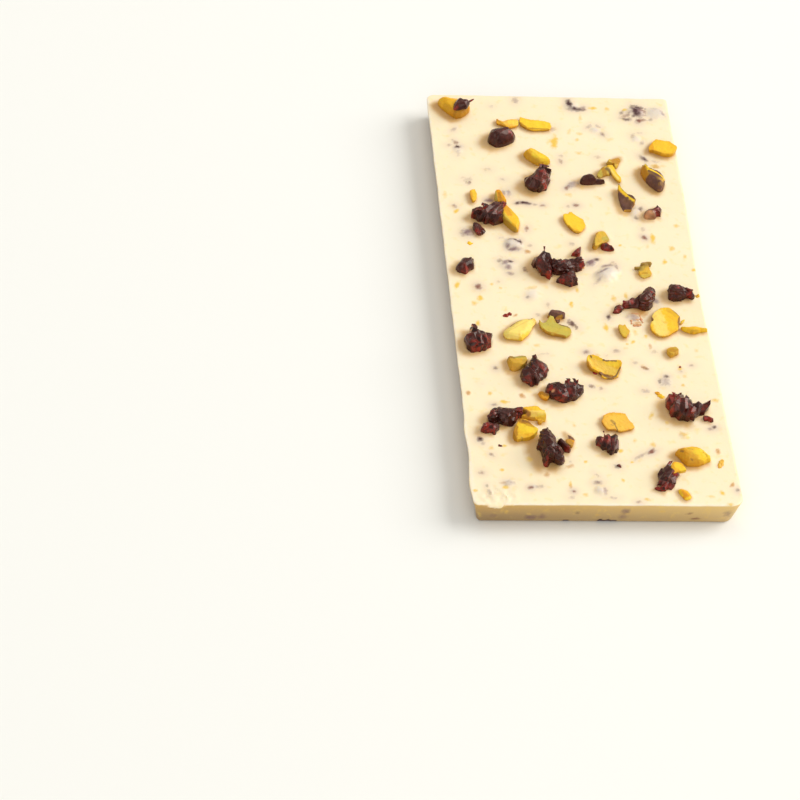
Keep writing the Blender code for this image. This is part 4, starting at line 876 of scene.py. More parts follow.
# nut: strokes of another colour as (kind, x, y, length, breadth, turn in degrees, strength); the 'side'
# strokes are painted shade
NUT_PATCHES = {
    "pistachio_01": (
        ("gold", -31.1, 75.9, 6.5, 2.6, -53, 0.55), ("side", -29.6, 73.2, 6.3, 1.4, -48, 0.45),
        ("side", -26.3, 72.5, 6.1, 2.2, 28, 0.85), ("gold", -26.5, 72.5, 6.4, 3, 24, 1),
    ),
    "pistachio_02": (
        ("pale", -11.6, 69.4, 5.4, 3, 1, 0.25), ("side", -14.9, 69, 4, 0.9, -49, 0.7),
        ("gold", -11.2, 69.3, 3.7, 1.6, -8, 0.1),
    ),
    "pistachio_03": (("side", -8.3, 68.1, 3.4, 0.7, -51, 0.8), ("side", -4.3, 66.9, 6.9, 0.7, -3, 0.7),),
    "pistachio_04": (
        ("gold", -8.6, 54.8, 3.4, 2, -57, 0.7), ("side", -8.4, 53.9, 3.7, 1, -54, 0.4),
        ("side", -6.7, 52.1, 3.5, 1.1, -37, 0.35), ("gold", -5, 52.9, 5.8, 1.6, -27, 0.05),
    ),
    "pistachio_05": (("gold", 28.4, 59.2, 3.6, 1.2, -90, 0.9), ("side", 29.4, 57.2, 3.3, 0.5, -26, 0.6),),
    "pistachio_06": (
        ("green", 15.1, 52.3, 2.8, 1.3, -44, 0.6), ("gold", 17.6, 54, 4.9, 3, 30, 1),
        ("side", 17.7, 54, 5.8, 2.6, 60, 0.85),
    ),
    "pistachio_07": (
        ("pale", 15.9, 47.5, 5.8, 1, -63, 0.5), ("side", 15, 48.6, 3.4, 0.5, -71, 0.5),
        ("side", 16.1, 46, 3.1, 0.5, -64, 0.4),
    ),
    "pistachio_08": (
        ("green", 12.2, 47.5, 4.1, 2.6, -46, 0.8), ("side", 13.2, 48.1, 3.1, 1.4, -79, 0.8),
        ("skin", 14.5, 48.5, 2.6, 0.8, -44, 0.7),
    ),
    "pistachio_09": (
        ("skin", 24.5, 47.6, 5, 2.2, -82, 0), ("gold", 24.5, 47.6, 5, 2.2, -82, 1),
        ("side", 24.5, 47.3, 4.7, 1.9, -79, 0.8), ("skin", 25.4, 48.7, 3.4, 0.9, -73, 0),
        ("gold", 25.4, 48.7, 3.4, 0.9, -73, 0.1), ("skin", 26.8, 46.9, 3.3, 0.7, -36, 0),
        ("skin", 29, 45.1, 3.6, 0.6, -42, 0), ("gold", 27.9, 45.8, 6.3, 0.8, -38, 0.1),
        ("skin", 29.1, 41.8, 2.3, 0.9, 7, 0.85),
    ),
    "pistachio_10": (
        ("skin", 16.8, 39.8, 3, 1, -65, 0), ("skin", 18, 37.7, 3.7, 0.9, -59, 0),
        ("skin", 19.4, 35.8, 2.9, 0.9, -43, 0), ("gold", 18.3, 37.9, 7.8, 1.2, -56, 0.1),
        ("skin", 18.4, 32.2, 2.4, 0.7, -12, 0.25), ("skin", 20.3, 34.3, 1, 0.8, 24, 0.35),
        ("skin", 18.7, 34.8, 4.4, 1.9, -56, 0.92), ("side", 18.2, 34.1, 5.9, 2.6, -65, 0.8),
    ),
    "pistachio_11": (("gold", -26.4, 36.9, 4.1, 0.7, -86, 0.8),),
    "pistachio_12": (
        ("green", -19.5, 36.4, 4.4, 0.8, -91, 0.8), ("side", -18.4, 35.7, 4.2, 0.9, -86, 0.8),
        ("gold", -18.5, 36.1, 5.8, 1.6, -82, 1),
    ),
    "pistachio_13": (
        ("gold", -16.7, 31.1, 6.2, 1.8, -83, 1), ("green", -17.4, 26.6, 5.4, 1.5, -70, 0.55),
        ("green", -17.5, 25.7, 4, 0.8, -59, 0.9), ("green", -15.8, 23.5, 3.1, 0.7, -43, 1),
        ("side", -16.7, 24.9, 6.3, 0.7, -53, 0.7),
    ),
    "pistachio_14": (
        ("side", 1, 24.1, 2.9, 0.6, -58, 0.8), ("side", 2.5, 22.9, 2.3, 0.6, -16, 0.7),
        ("gold", 2.1, 23.5, 2.3, 1, -34, 0.5),
    ),
    "pistachio_15": (
        ("side", 7.5, 20.7, 4.2, 1.1, -111, 1), ("side", 6.7, 17.8, 3.9, 1.1, -101, 1),
        ("green", 7.1, 19.3, 5.9, 1, 74, 0.6), ("skin", 7, 19.1, 4.7, 0.8, 74, 0.35),
        ("green", 10.9, 20.2, 3.7, 2, 42, 1), ("side", 10.4, 19.4, 3.7, 1.2, 46, 0.7),
        ("green", 10.1, 23.4, 1.9, 1, 2, 0.5), ("gold", 9.2, 20.2, 8.1, 1.8, 67, 0.6),
        ("side", 9.1, 20.1, 7.2, 3.6, 45, 0.2),
    ),
    "pistachio_16": (
        ("green", 20.6, 9.1, 4.8, 2.2, 7, 1), ("side", 20.6, 9.1, 4.8, 2.2, 7, 0.6),
        ("skin", 20.6, 9.2, 4.3, 1.6, 10, 0.35), ("green", 18.1, 7.9, 3.9, 2.4, -15, 1),
        ("side", 18.1, 7.9, 3.9, 2.4, -15, 0.5), ("skin", 18.1, 7.9, 3.1, 1.6, -15, 0.3),
        ("green", 21.6, 6.5, 3.4, 1.4, -78, 0.35), ("green", 20.2, 5, 3.8, 1.2, 7, 0.6),
        ("side", 20, 6, 1.9, 0.5, 0, 0.7),
    ),
    "pistachio_17": (("gold", 10.5, -17.2, 2.8, 0.7, -81, 0.5),),
    "pistachio_18": (
        ("pale", 21.4, -14.4, 10.7, 4.2, -79, 0.6), ("gold", 25.5, -11, 5.2, 2.6, -49, 0.35),
        ("side", 25.7, -10.6, 4.4, 1.6, -45, 0.3), ("skin", 26.9, -10.9, 3.4, 0.45, -55, 0.55),
        ("skin", 27.2, -13.4, 2.6, 0.5, -107, 0.8), ("skin", 26.9, -15.4, 2.3, 0.45, -92, 0.55),
        ("skin", 19.8, -12.7, 1.3, 0.5, -68, 0.8), ("green", 28.3, -13.6, 2.6, 1, 38, 0.45),
    ),
    "pistachio_19": (
        ("gold", 31, -17.4, 4.4, 1.6, 0, 0.4), ("side", 31, -17.4, 4, 0.9, 1, 0.1),
        ("gold", 28.1, -16.3, 2.4, 0.9, -51, 0.1), ("gold", 34.2, -16.9, 2, 0.8, 12, 0.1),
        ("skin", 31.2, -17.6, 2.8, 0.5, 4, 0.25),
    ),
    "pistachio_20": (
        ("green", 23.1, -26.1, 3.2, 1, -69, 0.4), ("side", 24.4, -25.5, 3.7, 2.2, -29, 0.6),
        ("gold", 24.5, -25.2, 4.8, 2.6, -33, 0.9),
    ),
    "pistachio_21": (
        ("skin", -19.7, -16, 2, 0.4, 46, 0.9), ("skin", -18, -14.6, 3, 0.35, 35, 0.8),
        ("skin", -14.4, -13.6, 2.1, 0.5, 36, 1), ("gold", -13.5, -14.5, 2.5, 1.4, -34, 0.8),
        ("green", -13.7, -14.4, 1.7, 1, -44, 0.3), ("gold", -21.7, -20.5, 2.8, 1.4, -48, 0.2),
        ("side", -19.9, -20.8, 4.8, 0.7, -13, 0.2), ("gold", -17.6, -17.4, 9, 2.8, 36, 0),
        ("pale", -17.6, -17.4, 11.4, 5.2, 36, 0.7), ("side", -18.3, -17.2, 6.7, 0.45, 36, 0.18),
    ),
    "pistachio_22": (
        ("skin", -5.9, -16.2, 1.8, 0.4, -21, 0.85), ("skin", -4.4, -16.8, 2.1, 0.35, -26, 0.8),
        ("green", -7.6, -18.1, 7.7, 1.2, -15, 0.8), ("green", -8.6, -15.1, 4.5, 1.6, -84, 0.9),
        ("side", -10.6, -18.2, 2.3, 0.5, -43, 0.8), ("side", -7.7, -19.4, 5.3, 0.5, -17, 0.8),
        ("gold", -11.8, -15.3, 2.5, 0.6, -78, 1),
    ),
    "pistachio_23": (
        ("skin", -6.5, -12.7, 2.4, 0.9, 7, 0.5), ("gold", -6.6, -13.1, 2.4, 1.2, -18, 1),
        ("side", -6.7, -13.8, 1.1, 0.5, -13, 0.6), ("skin", -9.1, -11.9, 1.1, 0.5, 134, 0.5),
    ),
    "pistachio_24": (
        ("green", -21.2, -28.9, 3.1, 1.5, -1, 1), ("green", -18.8, -28.6, 5.1, 1.7, 10, 0.9),
        ("side", -21.4, -29.2, 2.8, 1.3, -34, 0.8), ("skin", -21.3, -29, 2.7, 1.1, -14, 0.4),
        ("skin", -18.8, -28.6, 4.3, 0.9, 10, 0.35), ("green", -17.6, -30.3, 3.8, 1.6, -92, 0.6),
        ("side", -20.3, -32.8, 3.4, 1, 3, 0.3), ("skin", -19.8, -32.9, 2, 0.5, 22, 0.2),
        ("side", -19.8, -31.5, 7.6, 4, -5, 0.28), ("gold", -20.6, -31.6, 4.5, 2, -22, 0.75),
    ),
    "pistachio_25": (
        ("pale", 4.2, -32.5, 9.1, 2.6, -28, 0.3), ("gold", 2.1, -30.5, 5.5, 1.8, -18, 0.1),
        ("gold", 6, -31.3, 5.7, 1.3, -4, 0.1), ("gold", 3.8, -32.6, 8.6, 3.2, -28, 0.45),
        ("skin", 4.4, -30.6, 1.5, 0.4, -17, 0.9), ("skin", 6.2, -30.8, 2.8, 0.35, -1, 0.8),
        ("skin", 0.6, -29.5, 0.8, 0.4, -44, 0.8), ("skin", 6.4, -35.4, 2.2, 0.6, 28, 0.8),
        ("skin", 7.8, -33.8, 3.2, 0.5, 59, 0.8), ("skin", 4.3, -34.9, 4.3, 1, -31, 0.75),
        ("side", 4.5, -34.6, 4.1, 0.8, -19, 0.9), ("side", 0.2, -32.1, 2.9, 0.9, -60, 0.8),
    ),
    "pistachio_26": (
        ("gold", -13.7, -42.9, 6.2, 3, -47, 1), ("side", -13.3, -42.6, 3.2, 1.4, -30, 1),
        ("skin", -12.8, -42.7, 2, 0.9, -35, 0.5),
    ),
    "pistachio_27": (
        ("pale", -16.3, -50.5, 5.5, 1.6, 6, 0.5), ("side", -19.2, -50.1, 3.3, 1.3, -51, 1),
        ("skin", -19, -50.4, 2.1, 0.8, -57, 0.4), ("gold", -17.4, -50.1, 6.2, 2.2, -24, 0.55),
        ("gold", -16.2, -51.1, 4.8, 0.8, 3, 0), ("side", -18.7, -51.5, 4.1, 0.8, -9, 0.8),
        ("side", -15.6, -52.7, 2.5, 1.4, -4, 0.7),
    ),
    "pistachio_28": (
        ("side", -22.9, -57.5, 5.2, 1.6, -96, 0.9), ("side", -19.6, -54.4, 4.6, 1.4, -22, 1),
        ("skin", -19.5, -54.1, 2.9, 0.8, -22, 0.35), ("side", -18.6, -55.5, 2.8, 0.8, -22, 0.6),
        ("gold", -19.1, -56.7, 6.4, 2.4, -24, 0), ("gold", -20.3, -59, 5.4, 1.6, 4, 0.55),
        ("skin", -21.2, -59.4, 0.7, 0.35, -30, 0.5),
    ),
    "pistachio_29": (
        ("skin", -7.8, -57.3, 5.4, 3, -53, 0.95), ("skin", -8.4, -61.2, 4.6, 2.6, -65, 0.12),
        ("gold", -8.4, -61.2, 4.6, 2.6, -65, 0.9), ("side", -8.4, -61.2, 5, 3, -65, 0.75),
        ("pale", -8.4, -61.2, 4.6, 2.6, -65, 0.3),
    ),
    "pistachio_30": (
        ("pale", 4.7, -53.5, 11.9, 7, -4, 0.2), ("skin", 4.2, -53.1, 2.1, 0.9, -59, 0.5),
        ("skin", 4.8, -54.7, 2.5, 0.3, -74, 0.8), ("skin", 3.8, -54.1, 1, 0.4, -31, 0.4),
        ("gold", 9.1, -54.5, 2.8, 1.6, -45, 0.6),
    ),
    "pistachio_31": (
        ("side", 21.9, -66.3, 9.4, 4.4, -45, 0.3), ("gold", 21.9, -66.3, 9.4, 4.4, -45, 0.8),
        ("gold", 27.2, -66.2, 6.4, 3.2, -27, 0.1), ("skin", 21.3, -64.8, 1.1, 0.5, -30, 0.5),
        ("skin", 23.6, -64.3, 1.7, 0.35, -23, 0.4), ("skin", 23.6, -67.7, 0.9, 0.4, -30, 0.4),
        ("side", 24.5, -68.1, 5.2, 0.9, 2, 0.4), ("skin", 27.4, -66, 1.7, 0.35, -41, 0.35),
    ),
    "pistachio_32": (
        ("gold", 17.9, -70.7, 4, 1.4, -94, 0.8), ("green", 17.4, -72.1, 2.1, 1, -127, 0.3),
        ("gold", 20.1, -70.9, 4.2, 1.8, -44, 0.1),
    ),
    "pistachio_33": (
        ("gold", 20.5, -79.4, 4.3, 1.8, -53, 1), ("side", 20.5, -79.3, 3.1, 1, -52, 0.3),
        ("gold", 19.4, -78.5, 2.9, 0.7, -74, 0.1), ("gold", 21.2, -80.5, 2.1, 0.8, 21, 0.1),
    ),
}


def reach_of(outline, middle, angle):
    """How far an outline stretches from its middle in one direction."""
    return max((x - middle[0]) * cos(angle) + (y - middle[1]) * sin(angle) for x, y in outline)


def distance_to(outline, points):
    """How far each point is from an outline, in plan."""
    away = np.full(len(points), 99.0)
    for (x0, y0), (x1, y1) in zip(outline, outline[1:] + outline[:1]):
        run = max((x1 - x0) ** 2 + (y1 - y0) ** 2, 1e-9)
        u, v = points[:, 0] - x0, points[:, 1] - y0
        share = np.clip((u * (x1 - x0) + v * (y1 - y0)) / run, 0, 1)
        away = np.minimum(away, np.hypot(u - share * (x1 - x0), v - share * (y1 - y0)))
    return away


def within(outline, points):
    """Which points are inside an outline, in plan."""
    inside = np.zeros(len(points), bool)
    for (x0, y0), (x1, y1) in zip(outline, outline[1:] + outline[:1]):
        beside = (y0 > points[:, 1]) != (y1 > points[:, 1])
        inside ^= beside & (points[:, 0] < x0 + (points[:, 1] - y0) * (x1 - x0) / ((y1 - y0) or 1e-9))
    return inside


def cut_piece(point, normal):
    """Cut away all that lies beyond a plane, and close the cut."""
    bpy.ops.mesh.select_all(action="SELECT")
    bpy.ops.mesh.bisect(plane_co=Vector(point) * MM, plane_no=normal, use_fill=True, clear_outer=True)


def break_kernel(outline, height, cuts):
    """The cuts of one kernel, made on its raised outline in edit mode."""
    middle = (sum(p[0] for p in outline) / len(outline), sum(p[1] for p in outline) / len(outline))
    around, tilt, sides = cuts
    angle = radians(around)
    drop = TOP_DROP * np.tan(radians(tilt)) * reach_of(outline, middle, angle + pi)
    cut_piece((*middle, THICKNESS + height - drop),
              (cos(angle) * sin(radians(tilt)), sin(angle) * sin(radians(tilt)), cos(radians(tilt))))
    for around, steepness in sides:
        angle, lift = radians(around), radians(90 - steepness)
        reach = reach_of(outline, middle, angle)
        cut_piece((middle[0] + reach * cos(angle), middle[1] + reach * sin(angle),
                   THICKNESS + SIDE_CUT_HEIGHT * height),
                  (cos(angle) * cos(lift), sin(angle) * cos(lift), sin(lift)))


# pistachio flesh: dry and waxy, yellow in its heart and greener or golden towards the skin
nut_flesh = new_material("pistachio kernel flesh")
place = add_node(nut_flesh, "ShaderNodeTexCoord").outputs["Object"]
NUT_LOOKS = ("gold", "green", "side", "skin", "pale")
gold, green, side, skin, pale = (
    add_node(nut_flesh, "ShaderNodeAttribute", {"attribute_name": name}).outputs["Fac"] for name in NUT_LOOKS)
# flecks under 2 mm across, and the grain of broken flesh, drawn as coarse as it shows
mottle = add_node(nut_flesh, "ShaderNodeTexNoise", {"Scale": noise_scale(1.667), "Detail": 4.0},
                  {"Vector": place})
fine = add_node(nut_flesh, "ShaderNodeTexNoise", {"Scale": noise_scale(0.3333), "Detail": 3.0},
                {"Vector": place})
heart = add_node(nut_flesh, "ShaderNodeMixRGB", {1: linear("fbd232"), 2: linear("e89e1c")}, {0: gold})
lemon = add_node(nut_flesh, "ShaderNodeMixRGB", {2: linear("fce486")}, {0: pale, 1: heart.outputs[0]})
leafy = add_node(nut_flesh, "ShaderNodeMixRGB", {2: linear("beb050")}, {0: green, 1: lemon.outputs[0]})
# painted shade: the 'side' share darkens steep sides and the listed side strokes
shaded_sides = add_node(nut_flesh, "ShaderNodeMixRGB", {2: linear("b47c1c")}, {0: side, 1: leafy.outputs[0]})
flecks = add_node(nut_flesh, "ShaderNodeMapRange", {"From Min": 0.54, "From Max": 0.72, "To Max": 0.22},
                  {"Value": mottle.outputs["Fac"]})
mottled = add_node(nut_flesh, "ShaderNodeMixRGB", {2: linear("c48418")},
                   {0: flecks.outputs[0], 1: shaded_sides.outputs[0]})
hull = add_node(nut_flesh, "ShaderNodeMixRGB", {1: linear("482e28"), 2: linear("865c4b")},
                {0: mottle.outputs["Fac"]})
whole = add_node(nut_flesh, "ShaderNodeMixRGB", {}, {0: skin, 1: mottled.outputs[0], 2: hull.outputs[0]})
nut_bump = add_node(nut_flesh, "ShaderNodeBump", {"Strength": 0.7, "Distance": 0.14 * MM},
                    {"Height": fine.outputs["Fac"]})
dress_shader(nut_flesh, {"Roughness": 0.46, "Specular IOR Level": 0.24, "Subsurface Weight": 0.2,
                         "Subsurface Scale": 0.6 * MM, "Subsurface Radius": (1.0, 0.55, 0.1), "IOR": 1.47},
             {"Base Color": whole.outputs[0], "Normal": nut_bump.outputs[0]})

for number, (name, (base, height, form, golden, greenish, skinned, flat)) in enumerate(NUTS.items()):
    outline = pairs(flat)
    outlines[name] = (base, height, outline)
    steps, rounds, uneven, undercut = NUT_FORMS[form]
    piece = raise_outline("nut_" + name[-2:], outline, base, height, steps)
    if name in NUT_CUTS:
        break_kernel(outline, base + height, NUT_CUTS[name])
    bpy.ops.object.mode_set(mode="OBJECT")
    for layer_height, layer_flat in NUT_LAYERS.get(name, ()):
        raise_outline("layer", pairs(layer_flat), 0.0, layer_height, LAYER_STEPS)
        join_to(piece)
    fuse(piece, rounds)
    points = read_points(piece)
    if "kernel" in form:
        # a kernel is lower towards its rim, and lowest out in its pointed tips; strays past a tip sink
        inside = within(outline, points)
        inward = np.clip(inside * distance_to(outline, points) / (0.6 * half_breadth(outline)), 0, 1)
        crown = THICKNESS + base + height * (0.45 + 0.6 * np.sin(inward * pi / 2))
        crown[~inside & (distance_to(outline, points) > 0.25)] = THICKNESS - 0.3
        points[:, 2] = np.minimum(points[:, 2], crown)
        write_points(piece, points)
    rough = uneven * (noise_at(points, 2.2, 2.3 * number) + noise_at(points, 0.7, 60 + number))
    rough += 0.7 * uneven * crumple(points, 3.2, number) * (form in ("block", "dish"))
    rough -= undercut * np.clip(1 - (points[:, 2] - THICKNESS - base) / (0.55 * height), 0, 1)
    push_out(piece, rough)
    if form == "dish":
        points = read_points(piece)
        deep = np.clip(distance_to(outline, points) / 1.6, 0, 1) * (points[:, 2] > THICKNESS + 0.3 * height)
        points[:, 2] -= DISH_DEPTH * np.sin(deep * pi / 2)
        write_points(piece, points)
    bring_down(piece, base + height + 0.1)
    normals = read_normals(piece)
    points = read_points(piece)
    # a kernel is more golden in places and along its rim, and its steep sides get a painted shade
    lump = noise_at(points, 3.0, 90 + number)
    rim = np.exp(-((distance_to(outline, points) / 0.5) ** 2))
    looks = {"gold": 0.85 * golden + 0.25 * lump + 0.3 * rim,
             "green": greenish + 0.25 * noise_at(points, 2.5, 120 + number) * (greenish > 0),
             "side": 0.36 * np.clip(0.75 - normals[:, 2], 0, 1),
             "skin": np.clip((skinned - 0.5 + 0.6 * lump) * 4, 0, 1) * (skinned > 0),
             "pale": np.zeros(len(points))}
    ragged = 0.3 * noise_at(points, 0.9, 150 + number) + 0.2 * noise_at(points, 0.35, 160 + number)
    for kind, x0, y0, length, breadth, turn, strength in NUT_PATCHES.get(name, ()):
        c, s = cos(radians(turn)), sin(radians(turn))
        along = (points[:, 0] - x0) * c + (points[:, 1] - y0) * s
        across = (points[:, 1] - y0) * c - (points[:, 0] - x0) * s
        past_end = np.maximum(np.abs(along) - (length - breadth) / 2, 0)
        inside = np.clip(2.5 * (1.15 - np.hypot(2 * past_end / breadth, 2 * across / breadth) + ragged), 0, 1)
        looks[kind] = looks[kind] * (1 - inside) + strength * inside
    for kind, values in looks.items():
        store(piece, kind, values)
    piece.data.materials.append(nut_flesh)
    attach(piece, "root")
    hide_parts(name)
